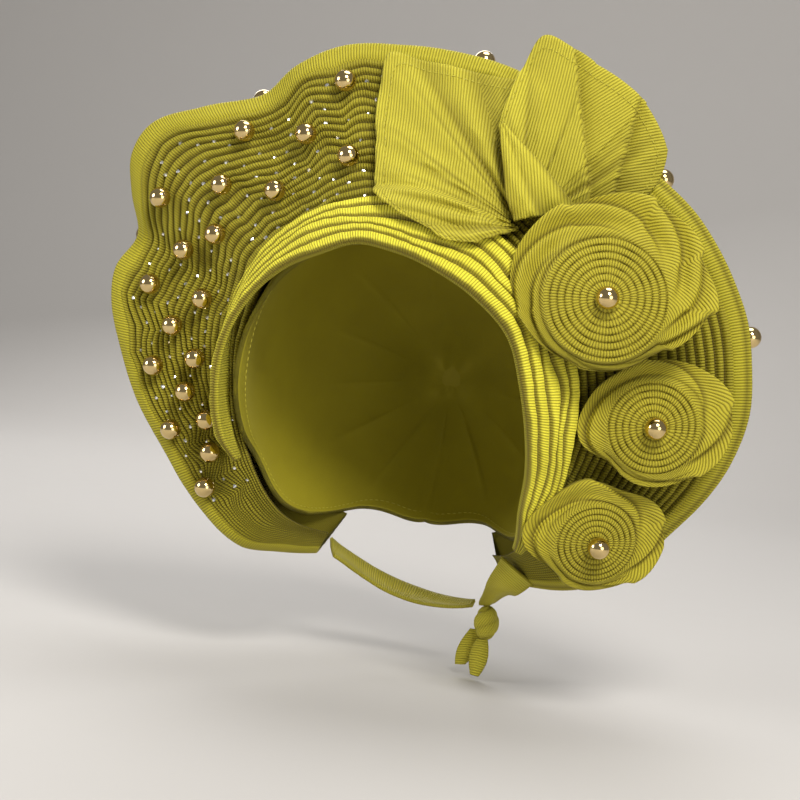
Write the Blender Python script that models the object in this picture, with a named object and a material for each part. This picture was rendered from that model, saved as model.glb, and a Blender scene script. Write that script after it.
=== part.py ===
"""Tied gele head tie: crown cap, brow folds and pleated halo, with a bow, rosettes, beads and nape ties.

The wearer faces -Y and the crown of the head is at the origin, so the head's centre lies straight below it.
A place on the wrap is given by an angle round the face, 0 over the forehead and 90 at the wearer's left
ear, and by degrees forward of the ear line, 0 at the ears and -90 at the back of the head.
"""

from math import atan2, cos, degrees, hypot, pi, radians, sin, sqrt

import bmesh
import bpy
from mathutils import Matrix, Vector
from mathutils.bvhtree import BVHTree

# Head that the wrap is tied on
HEAD_BREADTH = 0.156
HEAD_LENGTH = 0.194
HEAD_HEIGHT = 0.190

# Cloth walls and the room between layers
CAP_WALL = 0.002
BROW_WALL = 0.0024
HALO_WALL = 0.0014
FLAP_WALL = 0.0018
STRAP_WALL = 0.0016
LAYER_GAP = 0.0007
SEAT_GAP = 0.0004

# Pleated halo
HALO_WIDTH = 0.080
RIM_FORWARD = 0.034
RIM_ROLL = 0.0046
HALO_DISH = 0.003
FRONT_PLEATS = 20
BACK_PLEATS = 6
PLEAT_HEIGHT = 0.0017
BACK_PLEAT_HEIGHT = 0.0020

# Brow folds
BROW_STAND = 0.0090
BROW_FOLDS = 5
BROW_FOLD_HEIGHT = 0.0019

# Cap gathers at the back of the head
GATHERS = 13
GATHER_DEPTH = 0.0016

# Rosettes, bow and beads
ROSETTE_REACH = 0.044
ROSETTE_HEIGHT = 0.0150
ROSETTE_CORE = 0.60
ROSETTE_STALK = 0.50
ROSETTE_SKIRT_LIFT = 0.0060
ROSETTE_SKIRT_WALL = 0.0022
ROSETTE_TURNS = 5
ROSETTE_PETALS = 5
PETAL_RISE = 0.0034
RIDGE_DEPTH = 0.0016
BOW_SPAN = 0.101
BOW_LIFT = 0.0060
DRAPE_STEP = 0.004
BEAD_DIAMETER = 0.010

# Nape ties
STRAP_WIDTH = 0.018
TIE_DROP = 0.022
TAIL_LENGTH = 0.019
KNOT_SIZE = 0.014

BREADTH_R, LENGTH_R, HEIGHT_R = HEAD_BREADTH / 2, HEAD_LENGTH / 2, HEAD_HEIGHT / 2

# Rim of the halo round the face: how far it stands out from the head, as a share of HALO_WIDTH, and how far
# it lies in front of the ears, as a share of RIM_FORWARD.
RIM = [
    {"angle": -152, "reach": 0.14, "forward": -1.00},
    {"angle": -145, "reach": 0.25, "forward": -0.47},
    {"angle": -138, "reach": 0.37, "forward": 0.00},
    {"angle": -125, "reach": 0.45, "forward": 0.30},
    {"angle": -110, "reach": 0.55, "forward": 0.44},
    {"angle": -99, "reach": 0.67, "forward": 0.53},
    {"angle": -88, "reach": 0.79, "forward": 0.59},
    {"angle": -80, "reach": 0.89, "forward": 0.60},
    {"angle": -74, "reach": 0.93, "forward": 0.55},
    {"angle": -67, "reach": 0.89, "forward": 0.45},
    {"angle": -61, "reach": 1.02, "forward": 0.62},
    {"angle": -56, "reach": 1.12, "forward": 0.74},
    {"angle": -50, "reach": 1.12, "forward": 0.80},
    {"angle": -42, "reach": 0.95, "forward": 0.88},
    {"angle": -32, "reach": 0.78, "forward": 0.82},
    {"angle": -24, "reach": 0.81, "forward": 1.00},
    {"angle": -15, "reach": 0.82, "forward": 1.02},
    {"angle": -5, "reach": 0.77, "forward": 1.00},
    {"angle": 5, "reach": 0.75, "forward": 1.00},
    {"angle": 17, "reach": 0.75, "forward": 1.00},
    {"angle": 31, "reach": 0.77, "forward": 0.95},
    {"angle": 42, "reach": 0.81, "forward": 0.88},
    {"angle": 54, "reach": 0.91, "forward": 0.82},
    {"angle": 63, "reach": 0.96, "forward": 0.74},
    {"angle": 72, "reach": 1.00, "forward": 0.65},
    {"angle": 80, "reach": 1.00, "forward": 0.59},
    {"angle": 88, "reach": 0.99, "forward": 0.53},
    {"angle": 95, "reach": 0.94, "forward": 0.44},
    {"angle": 103, "reach": 0.85, "forward": 0.35},
    {"angle": 113, "reach": 0.72, "forward": 0.24},
    {"angle": 123, "reach": 0.63, "forward": 0.12},
    {"angle": 132, "reach": 0.50, "forward": 0.00},
    {"angle": 144, "reach": 0.27, "forward": -0.38},
    {"angle": 152, "reach": 0.14, "forward": -0.95},
]

# Where the halo's front and back walls meet the head, in degrees forward of the ears.
HALO_ROOT = [
    {"angle": -152, "front": -18, "back": -31},
    {"angle": -138, "front": -1, "back": -25},
    {"angle": -120, "front": 6, "back": -30},
    {"angle": -90, "front": 13, "back": -34},
    {"angle": -60, "front": 21, "back": -30},
    {"angle": -30, "front": 30, "back": -20},
    {"angle": 0, "front": 35, "back": -14},
    {"angle": 30, "front": 31, "back": -20},
    {"angle": 60, "front": 25.5, "back": -30},
    {"angle": 90, "front": 21, "back": -34},
    {"angle": 120, "front": 16, "back": -30},
    {"angle": 138, "front": 2, "back": -24},
    {"angle": 152, "front": -18, "back": -31},
]

# Brow folds: degrees forward of the free edge and of the root, and their stand off the cap as a share of
# BROW_STAND.
BROW = [
    {"angle": -119, "edge": 14, "edge_stand": 0.50, "root": 11, "root_stand": 0.40},
    {"angle": -110, "edge": 22, "edge_stand": 0.95, "root": 13, "root_stand": 0.50},
    {"angle": -95, "edge": 26, "edge_stand": 1.12, "root": 14, "root_stand": 0.55},
    {"angle": -78, "edge": 28, "edge_stand": 1.02, "root": 17, "root_stand": 0.75},
    {"angle": -61, "edge": 32, "edge_stand": 0.65, "root": 23, "root_stand": 0.95},
    {"angle": -43, "edge": 38, "edge_stand": 0.20, "root": 28, "root_stand": 1.00},
    {"angle": -30, "edge": 43, "edge_stand": 0.00, "root": 32, "root_stand": 1.00},
    {"angle": -15, "edge": 46, "edge_stand": 0.00, "root": 36, "root_stand": 1.00},
    {"angle": 0, "edge": 50, "edge_stand": 0.00, "root": 37, "root_stand": 1.00},
    {"angle": 20, "edge": 51, "edge_stand": 0.00, "root": 35, "root_stand": 1.00},
    {"angle": 40, "edge": 48, "edge_stand": 0.00, "root": 32, "root_stand": 1.00},
    {"angle": 60, "edge": 43, "edge_stand": 0.00, "root": 28, "root_stand": 1.00},
    {"angle": 80, "edge": 41, "edge_stand": 0.00, "root": 24, "root_stand": 1.00},
    {"angle": 98, "edge": 37, "edge_stand": 0.00, "root": 23, "root_stand": 1.00},
    {"angle": 114, "edge": 31, "edge_stand": 0.00, "root": 20, "root_stand": 0.90},
    {"angle": 127, "edge": 26, "edge_stand": 0.20, "root": 16, "root_stand": 0.70},
    {"angle": 138, "edge": 14, "edge_stand": 0.30, "root": 9, "root_stand": 0.40},
]

# Front edge of the crown cap, in degrees forward of the ears, and its flare off the temple as a share of
# BROW_STAND. Below the ears it is the neck's edge.
CAP_EDGE = [
    {"angle": -180, "forward": -42, "flare": 0.00},
    {"angle": -155, "forward": -36, "flare": 0.00},
    {"angle": -138, "forward": -4, "flare": 0.00},
    {"angle": -120, "forward": 5, "flare": 0.00},
    {"angle": -110, "forward": 14, "flare": 0.20},
    {"angle": -95, "forward": 21, "flare": 0.35},
    {"angle": -78, "forward": 23, "flare": 0.30},
    {"angle": -61, "forward": 27, "flare": 0.10},
    {"angle": -30, "forward": 40, "flare": 0.00},
    {"angle": 0, "forward": 47, "flare": 0.00},
    {"angle": 30, "forward": 46, "flare": 0.00},
    {"angle": 60, "forward": 40, "flare": 0.00},
    {"angle": 90, "forward": 35, "flare": 0.00},
    {"angle": 114, "forward": 27, "flare": 0.00},
    {"angle": 130, "forward": 10, "flare": 0.00},
    {"angle": 140, "forward": -8, "flare": 0.00},
    {"angle": 155, "forward": -36, "flare": 0.00},
    {"angle": 180, "forward": -42, "flare": 0.00},
]
CAP_RINGS = (0.20, 0.40, 0.58, 0.75, 0.87, 0.94, 1.0)

# Rosettes: place round the face, place between the halo's root and rim, size, and the turn of the first petal.
ROSETTES = [
    {"name": "rosette_top", "angle": 61, "out": 0.31, "size": 1.02, "turn": 20},
    {"name": "rosette_middle", "angle": 91, "out": 0.50, "size": 0.79, "turn": -10},
    {"name": "rosette_bottom", "angle": 120.5, "out": 0.49, "size": 0.71, "turn": 35},
]

# Outline of each rosette, counted round it from the right, as shares of its reach. Both lists start and end at
# the same place, and a gap between two rosettes shows as a shorter reach.
ROSETTE_OUTLINE = {
    "rosette_top": [
        {"bearing": 0, "reach": 1.08},
        {"bearing": 30, "reach": 1.06},
        {"bearing": 60, "reach": 1.10},
        {"bearing": 95, "reach": 1.04},
        {"bearing": 135, "reach": 1.00},
        {"bearing": 170, "reach": 0.98},
        {"bearing": 205, "reach": 0.80},
        {"bearing": 240, "reach": 0.72},
        {"bearing": 275, "reach": 0.68},
        {"bearing": 300, "reach": 0.66},
        {"bearing": 330, "reach": 0.80},
        {"bearing": 360, "reach": 1.08},
    ],
    "rosette_middle": [
        {"bearing": 0, "reach": 1.06},
        {"bearing": 25, "reach": 1.08},
        {"bearing": 55, "reach": 0.98},
        {"bearing": 90, "reach": 0.90},
        {"bearing": 125, "reach": 0.82},
        {"bearing": 160, "reach": 0.90},
        {"bearing": 195, "reach": 0.98},
        {"bearing": 225, "reach": 0.74},
        {"bearing": 262, "reach": 0.76},
        {"bearing": 300, "reach": 0.82},
        {"bearing": 330, "reach": 0.92},
        {"bearing": 360, "reach": 1.06},
    ],
    "rosette_bottom": [
        {"bearing": 0, "reach": 1.08},
        {"bearing": 35, "reach": 1.05},
        {"bearing": 70, "reach": 0.88},
        {"bearing": 105, "reach": 0.96},
        {"bearing": 140, "reach": 0.94},
        {"bearing": 180, "reach": 1.10},
        {"bearing": 215, "reach": 0.80},
        {"bearing": 250, "reach": 0.76},
        {"bearing": 290, "reach": 0.78},
        {"bearing": 325, "reach": 0.92},
        {"bearing": 360, "reach": 1.08},
    ],
}

# Bow: where its folds meet, round the face and between the halo's root and rim.
BOW_HEART = {"angle": 33, "out": 0.22}

# Flaps of the bow, fanned about its heart: bearing in the front view, length as a share of BOW_SPAN, and
# lift off the halo as a share of BOW_LIFT.
BOW_FLAPS = {
    "bow_flap_left": [
        {"bearing": 210, "reach": 0.18, "lift": 0.30},
        {"bearing": 196, "reach": 0.30, "lift": 0.85},
        {"bearing": 186, "reach": 0.38, "lift": 0.35},
        {"bearing": 176, "reach": 0.55, "lift": 0.95},
        {"bearing": 170, "reach": 0.66, "lift": 0.55},
        {"bearing": 163, "reach": 0.70, "lift": 1.05},
        {"bearing": 155, "reach": 0.76, "lift": 0.75},
        {"bearing": 149, "reach": 0.83, "lift": 0.90},
        {"bearing": 141, "reach": 0.92, "lift": 0.60},
        {"bearing": 134, "reach": 1.00, "lift": 0.80},
        {"bearing": 128, "reach": 0.89, "lift": 0.30},
        {"bearing": 121, "reach": 0.80, "lift": 0.75},
        {"bearing": 114, "reach": 0.73, "lift": 0.15},
        {"bearing": 106, "reach": 0.68, "lift": 0.35},
        {"bearing": 98, "reach": 0.65, "lift": 0.05},
        {"bearing": 91, "reach": 0.60, "lift": 0.05},
    ],
    "bow_flap_right": [
        {"bearing": 110, "reach": 0.46, "lift": 0.55},
        {"bearing": 104, "reach": 0.56, "lift": 0.85},
        {"bearing": 97, "reach": 0.71, "lift": 0.75},
        {"bearing": 91, "reach": 0.85, "lift": 0.60},
        {"bearing": 82, "reach": 0.82, "lift": 0.90},
        {"bearing": 74, "reach": 0.79, "lift": 1.00},
        {"bearing": 72, "reach": 0.78, "lift": 0.40},
        {"bearing": 63, "reach": 0.77, "lift": 0.70},
        {"bearing": 53, "reach": 0.76, "lift": 0.85},
        {"bearing": 51, "reach": 0.75, "lift": 0.25},
        {"bearing": 43, "reach": 0.73, "lift": 0.60},
        {"bearing": 36, "reach": 0.71, "lift": 0.55},
        {"bearing": 34, "reach": 0.70, "lift": 0.10},
        {"bearing": 26, "reach": 0.62, "lift": 0.35},
        {"bearing": 18, "reach": 0.50, "lift": 0.10},
    ],
}
BOW_STEPS = (0.10, 0.40, 0.70, 1.0)

# Folded tongue between the flaps: direction and length of its spine, then its width to the left and right of
# the spine, as shares of BOW_SPAN, and its lift as a share of BOW_LIFT, from the heart to its tip.
BOW_TONGUE = {"bearing": 108, "reach": 0.46}
BOW_TONGUE_ROWS = [
    {"along": 0.06, "left": 0.02, "right": 0.25, "lift": 0.25},
    {"along": 0.30, "left": 0.03, "right": 0.20, "lift": 0.55},
    {"along": 0.60, "left": 0.02, "right": 0.13, "lift": 0.65},
    {"along": 0.85, "left": 0.01, "right": 0.06, "lift": 0.55},
    {"along": 1.00, "left": 0.00, "right": 0.02, "lift": 0.35},
]

# Beads on the front of the halo: place round the face and from its root, 0, to its rim, 1.
FRONT_BEADS = [
    {"angle": -15, "out": 0.80},
    {"angle": -37, "out": 0.80},
    {"angle": -25, "out": 0.58},
    {"angle": -16, "out": 0.34},
    {"angle": -58, "out": 0.76},
    {"angle": -47, "out": 0.52},
    {"angle": -37, "out": 0.35},
    {"angle": -56, "out": 0.36},
    {"angle": -64, "out": 0.58},
    {"angle": -74, "out": 0.73},
    {"angle": -72, "out": 0.34},
    {"angle": -81, "out": 0.53},
    {"angle": -91, "out": 0.75},
    {"angle": -88, "out": 0.36},
    {"angle": -97, "out": 0.51},
    {"angle": -106, "out": 0.82},
    {"angle": -105, "out": 0.38},
    {"angle": -114, "out": 0.49},
    {"angle": -122, "out": 0.80},
]

# Beads just behind the rim, round the face.
RIM_BEADS = [-67, -33, 8, 45, 75]

# Ties from the ends of the halo to the knot at the nape: angle round the head, reach and forward as for the
# rim, width as a share of STRAP_WIDTH, and how far the strap faces front, 1, or away from the neck, 0.
TIES = {
    "tie_left": [
        {"angle": 145.0, "reach": 0.13, "forward": -0.20, "width": 1.10, "facing": 1.0},
        {"angle": 151.0, "reach": 0.16, "forward": -0.42, "width": 0.88, "facing": 0.9},
        {"angle": 155.5, "reach": 0.20, "forward": -0.85, "width": 0.62, "facing": 0.6},
        {"angle": 159.5, "reach": 0.25, "forward": -1.22, "width": 0.45, "facing": 0.4},
    ],
    "tie_right": [
        {"angle": -155.0, "reach": 0.06, "forward": -1.25, "width": 0.90, "facing": 0.0},
        {"angle": -165.0, "reach": 0.10, "forward": -1.60, "width": 0.90, "facing": 0.0},
        {"angle": -180.0, "reach": 0.17, "forward": -1.80, "width": 0.85, "facing": 0.0},
        {"angle": -196.5, "reach": 0.24, "forward": -1.58, "width": 0.50, "facing": 0.1},
    ],
}

FINISHES = {
    "gele_cloth": {"colour": (0.52, 0.46, 0.03, 1), "metallic": 0.0, "roughness": 0.6},
    "gold_bead": {"colour": (0.80, 0.62, 0.25, 1), "metallic": 1.0, "roughness": 0.12},
}


def value_at(rows, column, angle):
    """Reads a column of a table at any angle, smoothly between its rows."""
    places = [row["angle"] for row in rows]
    values = [row[column] for row in rows]
    if angle <= places[0]:
        return values[0]
    if angle >= places[-1]:
        return values[-1]
    i = max(k for k in range(len(places) - 1) if places[k] <= angle)

    def slope(k):
        low, high = max(k - 1, 0), min(k + 1, len(places) - 1)
        return (values[high] - values[low]) / (places[high] - places[low])

    span = places[i + 1] - places[i]
    t = (angle - places[i]) / span
    return (
        (2 * t**3 - 3 * t**2 + 1) * values[i]
        + (t**3 - 2 * t**2 + t) * span * slope(i)
        + (3 * t**2 - 2 * t**3) * values[i + 1]
        + (t**3 - t**2) * span * slope(i + 1)
    )


def renamed(rows, column):
    """The same rows with another column as their angle, so that value_at can read them."""
    return [{**row, "angle": row[column]} for row in rows]


def head_radius(angle):
    """Distance from the head's axis to its surface over the ears, at an angle round the face."""
    a = radians(angle)
    return 1 / sqrt((sin(a) / BREADTH_R) ** 2 + (cos(a) / HEIGHT_R) ** 2)


def over_head(angle, forward, stand):
    """(distance from the head's axis, y) of a place that stands off the head."""
    f = radians(forward)
    return Vector(((head_radius(angle) + stand) * cos(f), -(LENGTH_R + stand) * sin(f)))


def in_space(angle, section_point):
    """The point in space of a (distance from axis, y) pair at an angle round the face."""
    a = radians(angle)
    return Vector((section_point[0] * sin(a), section_point[1], section_point[0] * cos(a) - HEIGHT_R))


CAP_OUTSIDE = CAP_WALL + LAYER_GAP


def halo_lines(angle):
    """The halo's base lines at an angle: root and rim end of its front wall, rim centre, back wall's ends."""
    reach = head_radius(angle) + CAP_WALL + HALO_WIDTH * value_at(RIM, "reach", angle)
    forward = value_at(RIM, "forward", angle) * RIM_FORWARD
    stand = CAP_OUTSIDE + HALO_WALL
    root = over_head(angle, value_at(HALO_ROOT, "front", angle), stand)
    back_root = over_head(angle, value_at(HALO_ROOT, "back", angle), stand)
    centre = Vector((reach - RIM_ROLL, -forward + RIM_ROLL))
    return root, centre + Vector((0, -RIM_ROLL)), centre, centre + Vector((0, RIM_ROLL)), back_root


def wall_frame(start, end):
    """Length, direction and outward normal of a straight base line that runs away from the head."""
    along = end - start
    length = along.length
    along = along / length
    return length, along, Vector((along[1], -along[0]))


def front_wall(angle, out):
    """(base point, outward normal) of the halo's front wall, out from its root, 0, to its rim, 1."""
    root, rim, _, _, _ = halo_lines(angle)
    _, _, normal = wall_frame(root, rim)
    return root + (rim - root) * out - normal * HALO_DISH * sin(pi * out), normal


def halo_section(angle):
    """One closed section of the halo: pleated front wall, rolled rim, pleated back wall, plain inner faces."""
    root, front_rim, centre, back_rim, back_root = halo_lines(angle)
    front_length, _, front_normal = wall_frame(root, front_rim)
    back_length, _, back_in = wall_frame(back_root, back_rim)
    back_normal = -back_in
    height = min(PLEAT_HEIGHT, 0.55 * front_length / FRONT_PLEATS)
    points = []
    for k in range(2 * FRONT_PLEATS + 1):
        out = k / (2 * FRONT_PLEATS)
        base, normal = front_wall(angle, out)
        points.append(base + normal * height * (k % 2))
    for k in range(1, 5):
        a = radians(90 - 36 * k)
        points.append(centre + Vector((cos(a), -sin(a))) * RIM_ROLL * 1.06)
    back_height = min(BACK_PLEAT_HEIGHT, 0.4 * back_length / BACK_PLEATS)
    for k in range(2 * BACK_PLEATS + 1):
        base = back_rim + (back_root - back_rim) * (k / (2 * BACK_PLEATS))
        points.append(base + back_normal * back_height * (k % 2))
    back_face = [back_root.lerp(back_rim, t) - back_normal * HALO_WALL for t in (0, 0.5, 0.97)]
    front_face = []
    for out in (0.97, 0.66, 0.33, 0):
        base, normal = front_wall(angle, out)
        front_face.append(base - normal * HALO_WALL)
    return [in_space(angle, p) for p in points + back_face + front_face]


def mesh_object(name, points, faces, finish):
    """Makes one closed, outward-facing named object from points and faces."""
    mesh = bpy.data.meshes.new(name)
    mesh.from_pydata([tuple(p) for p in points], [], faces)
    bm = bmesh.new()
    bm.from_mesh(mesh)
    bmesh.ops.triangulate(bm, faces=bm.faces[:])
    bmesh.ops.recalc_face_normals(bm, faces=bm.faces)
    bm.to_mesh(mesh)
    bm.free()
    mesh.shade_smooth()
    mesh.set_sharp_from_angle(angle=radians(50))
    mesh.materials.append(material(finish))
    made = bpy.data.objects.new(name, mesh)
    bpy.context.scene.collection.objects.link(made)
    return made


def material(name):
    """The named finish as a Principled material."""
    made = bpy.data.materials.get(name)
    if made is None:
        made = bpy.data.materials.new(name)
        made.use_nodes = True
        shader = made.node_tree.nodes["Principled BSDF"]
        shader.inputs["Base Color"].default_value = FINISHES[name]["colour"]
        shader.inputs["Metallic"].default_value = FINISHES[name]["metallic"]
        shader.inputs["Roughness"].default_value = FINISHES[name]["roughness"]
    return made


def loft(name, sections, finish):
    """Joins closed sections of equal length into one capped solid."""
    count = len(sections[0])
    points = [p for section in sections for p in section]
    faces = []
    for s in range(len(sections) - 1):
        for k in range(count):
            n = (k + 1) % count
            faces.append((s * count + k, s * count + n, (s + 1) * count + n, (s + 1) * count + k))
    faces.append(tuple(range(count)))
    faces.append(tuple((len(sections) - 1) * count + k for k in reversed(range(count))))
    return mesh_object(name, points, faces, finish)


def slab(name, top, wall, finish):
    """A sheet: a grid of (point, outward direction) rows given a wall towards the inside."""
    rows, columns = len(top), len(top[0])
    points = [p for row in top for p, _ in row] + [p - d * wall for row in top for p, d in row]
    under = rows * columns
    faces = []
    for r in range(rows - 1):
        for c in range(columns - 1):
            a, b = r * columns + c, r * columns + c + 1
            faces.append((a, b, b + columns, a + columns))
            faces.append((under + a, under + a + columns, under + b + columns, under + b))
    rim = [c for c in range(columns)]
    rim += [r * columns + columns - 1 for r in range(1, rows)]
    rim += [(rows - 1) * columns + c for c in reversed(range(columns - 1))]
    rim += [r * columns for r in reversed(range(1, rows - 1))]
    for a, b in zip(rim, rim[1:] + rim[:1]):
        faces.append((a, under + a, under + b, b))
    return mesh_object(name, points, faces, finish)


def tree_of(made):
    """A search tree over an object's faces."""
    bm = bmesh.new()
    bm.from_mesh(made.data)
    tree = BVHTree.FromBMesh(bm)
    bm.free()
    return tree


def touches(made, step, trees):
    """True if an object would meet any of the trees after a step."""
    points = [v.co + step for v in made.data.vertices]
    moved = BVHTree.FromPolygons(points, [tuple(f.vertices) for f in made.data.polygons])
    return any(moved.overlap(tree) for tree in trees)


def seat(made, onto, direction, reach=0.03):
    """Slides an object along a direction until it lies one seat gap off the pieces that it is sewn to."""
    direction = direction.normalized()
    trees = [tree_of(other) for other in onto]
    step = 0.0005
    travel = -reach
    while touches(made, direction * travel, trees) and travel > -3 * reach:
        travel -= step
    while travel < reach and not touches(made, direction * (travel + step), trees):
        travel += step
    low, high = travel, travel + step
    for _ in range(6):
        middle = (low + high) / 2
        if touches(made, direction * middle, trees):
            high = middle
        else:
            low = middle
    if travel < reach:
        made.data.transform(Matrix.Translation(direction * (low - SEAT_GAP)))
    return made


def crown_cap():
    """The cap over the crown and the back of the head, gathered towards the back, open to face and neck."""
    columns, rings = 2 * GATHERS, len(CAP_RINGS)
    outside, inside = [], []
    for ring in CAP_RINGS:
        for column in range(columns):
            angle = -180 + 360 * column / columns
            forward = -90 + (value_at(CAP_EDGE, "forward", angle) + 90) * ring
            clear_of_halo = value_at(HALO_ROOT, "back", angle) - 8 - forward
            gather = GATHER_DEPTH * (column % 2) * max(0.0, min(1.0, clear_of_halo / 15))
            last_ring = max(0.0, (ring - CAP_RINGS[-2]) / (1 - CAP_RINGS[-2]))
            flare = value_at(CAP_EDGE, "flare", angle) * BROW_STAND * last_ring
            outside.append(in_space(angle, over_head(angle, forward, CAP_WALL + flare - gather)))
            inside.append(in_space(angle, over_head(angle, forward, flare - gather)))
    poles = [Vector((0, LENGTH_R + CAP_WALL, -HEIGHT_R)), Vector((0, LENGTH_R, -HEIGHT_R))]
    points = outside + inside + poles
    shift = rings * columns
    faces = []
    for column in range(columns):
        n = (column + 1) % columns
        faces.append((2 * shift, column, n))
        faces.append((2 * shift + 1, shift + n, shift + column))
        for ring in range(rings - 1):
            a, b = ring * columns + column, ring * columns + n
            faces.append((a, a + columns, b + columns, b))
            faces.append((shift + a, shift + b, shift + b + columns, shift + a + columns))
        a, b = (rings - 1) * columns + column, (rings - 1) * columns + n
        faces.append((a, shift + a, shift + b, b))
    return mesh_object("crown_cap", points, faces, "gele_cloth")


def brow_wrap():
    """The folded cloth round the face, in rolls that lie on one another."""
    sections = []
    stations = 27
    first, last = BROW[0]["angle"], BROW[-1]["angle"]
    per_fold = 3
    for station in range(stations + 1):
        angle = first + (last - first) * station / stations
        edge, root = value_at(BROW, "edge", angle), value_at(BROW, "root", angle)
        edge_stand = value_at(BROW, "edge_stand", angle) * BROW_STAND
        root_stand = value_at(BROW, "root_stand", angle) * BROW_STAND
        base = CAP_OUTSIDE + BROW_WALL
        outer, inner = [], []
        for k in range(per_fold * BROW_FOLDS + 1):
            t = k / (per_fold * BROW_FOLDS)
            forward = edge + (root - edge) * t
            stand = base + edge_stand + (root_stand - edge_stand) * t
            width = radians(edge - root) * LENGTH_R / BROW_FOLDS
            height = min(BROW_FOLD_HEIGHT, 0.4 * width) * (0.0, 1.0, 0.85)[k % per_fold]
            outer.append(over_head(angle, forward, stand + height))
            if k % per_fold == 0:
                inner.append(over_head(angle, forward, stand - BROW_WALL))
        sections.append([in_space(angle, p) for p in outer + inner[::-1]])
    return loft("brow_wrap", sections, "gele_cloth")


def pleated_halo():
    """The halo: one strip of pleated cloth round the face, folded over at its rim and open towards the head."""
    angles = [RIM[0]["angle"]]
    for row in RIM[1:]:
        steps = 2 if row["angle"] - angles[-1] > 12 else 1
        start = angles[-1]
        angles += [start + (row["angle"] - start) * (s + 1) / steps for s in range(steps)]
    return loft("pleated_halo", [halo_section(a) for a in angles], "gele_cloth")


def on_front(place, height):
    """(point, outward normal) in space above the halo's front wall."""
    angle = place["angle"]
    base, normal = front_wall(angle, place["out"])
    point = in_space(angle, base + normal * height)
    return point, (in_space(angle, base + normal) - in_space(angle, base)).normalized()


def rosette(row, onto):
    """A rolled ribbon flower: a spiral of folded ribbon that opens into a skirt of overlapping petals."""
    reach = ROSETTE_REACH * row["size"]
    height = ROSETTE_HEIGHT * (0.4 + 0.6 * row["size"])
    core = ROSETTE_CORE * reach
    segments = 4 * ROSETTE_PETALS
    pitch = core / (ROSETTE_TURNS + 0.3)
    outline = renamed(ROSETTE_OUTLINE[row["name"]], "bearing")

    def spot(radius, index, z):
        a = radians(360 * index / segments + row["turn"])
        return Vector((radius * cos(a), radius * sin(a), z))

    def crown(radius):
        return height * (1 - 0.20 * (radius / core) ** 2)

    last = ROSETTE_TURNS * segments
    valley, ridge = [], []
    for k in range(last + 1):
        radius = 0.3 * pitch + pitch * k / segments
        valley.append(spot(radius, k, crown(radius) - RIDGE_DEPTH))
        ridge.append(spot(radius + 0.6 * pitch, k, crown(radius + 0.6 * pitch)))
    points = [Vector((0, 0, height - RIDGE_DEPTH))] + valley + ridge
    v, r = 1, 1 + len(valley)
    faces = [(0, v + k, v + k + 1) for k in range(segments)]
    faces += [(0, v + segments, r), (0, r, v)]
    for k in range(last):
        faces.append((v + k, r + k, r + k + 1, v + k + 1))
        if k + segments < last:
            faces.append((r + k, v + k + segments, v + k + segments + 1, r + k + 1))
    start = last - segments

    rings = []
    for share in (0.35, 1.0):
        ring = []
        for i in range(segments):
            place_in_petal = (i % 4) / 3
            turned = i - (0.5 if i % 4 == 0 and share == 1.0 else 0.0)
            bearing = (360 * turned / segments + row["turn"]) % 360
            inner = core + 0.1 * pitch + pitch * i / segments * 0.4
            outer = max(inner + 0.0025, value_at(outline, "reach", bearing) * reach * (0.94 + 0.09 * place_in_petal))
            radius = inner + (outer - inner) * share
            petal = PETAL_RISE * row["size"] * place_in_petal * share
            lift = crown(core) * (1 - share) + (ROSETTE_SKIRT_LIFT + ROSETTE_SKIRT_WALL) * share
            dip = RIDGE_DEPTH * (1 - share)
            ring.append(spot(radius, turned, lift - dip + petal))
        rings.append(ring)
    under = [[Vector((p.x, p.y, p.z - ROSETTE_SKIRT_WALL)) for p in ring] for ring in rings]
    base = [spot(core * ROSETTE_STALK, i, 0.0) for i in range(segments)]
    hem = [spot(core * ROSETTE_STALK, i, crown(core) - 0.0042) for i in range(segments)]
    order = rings + under[::-1] + [hem, base]
    first = len(points)
    for ring in order:
        points += ring
    for i in range(segments):
        n = (i + 1) % segments
        faces.append((r + start + i, first + i, first + n, r + start + i + 1))
        for j in range(len(order) - 1):
            a, b = first + j * segments, first + (j + 1) * segments
            faces.append((a + i, b + i, b + n, a + n))
    faces.append((r + last, first, r + start, v + last))
    bottom = first + (len(order) - 1) * segments
    points.append(Vector((0, 0, 0)))
    centre = len(points) - 1
    faces += [(bottom + i, centre, bottom + (i + 1) % segments) for i in range(segments)]

    place, normal = on_front(row, PLEAT_HEIGHT)
    across = normal.cross(Vector((0, 0, 1))).normalized() * -1
    up = normal.cross(across).normalized()
    placed = [place + across * p.x + up * p.y + normal * p.z for p in points]
    made = mesh_object(row["name"], placed, faces, "gele_cloth")
    return seat(made, onto, -normal), across, up, normal


def front_of(onto, x, z):
    """How far forward the halo and the pieces before it reach around a place of the front view."""
    angle = degrees(atan2(x, z + HEIGHT_R))
    root, rim, _, _, _ = halo_lines(angle)
    out = max(0.0, min(1.0, (hypot(x, z + HEIGHT_R) - root[0]) / (rim[0] - root[0])))
    base, normal = front_wall(angle, out)
    nearest = (base + normal * PLEAT_HEIGHT)[1]
    for dx, dz in ((0, 0), (DRAPE_STEP, 0), (-DRAPE_STEP, 0), (0, DRAPE_STEP), (0, -DRAPE_STEP)):
        for tree in onto:
            hit = tree.ray_cast(Vector((x + dx, -0.3, z + dz)), Vector((0, 1, 0)))
            if hit[0] is not None:
                nearest = min(nearest, hit[0].y)
    return nearest


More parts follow.
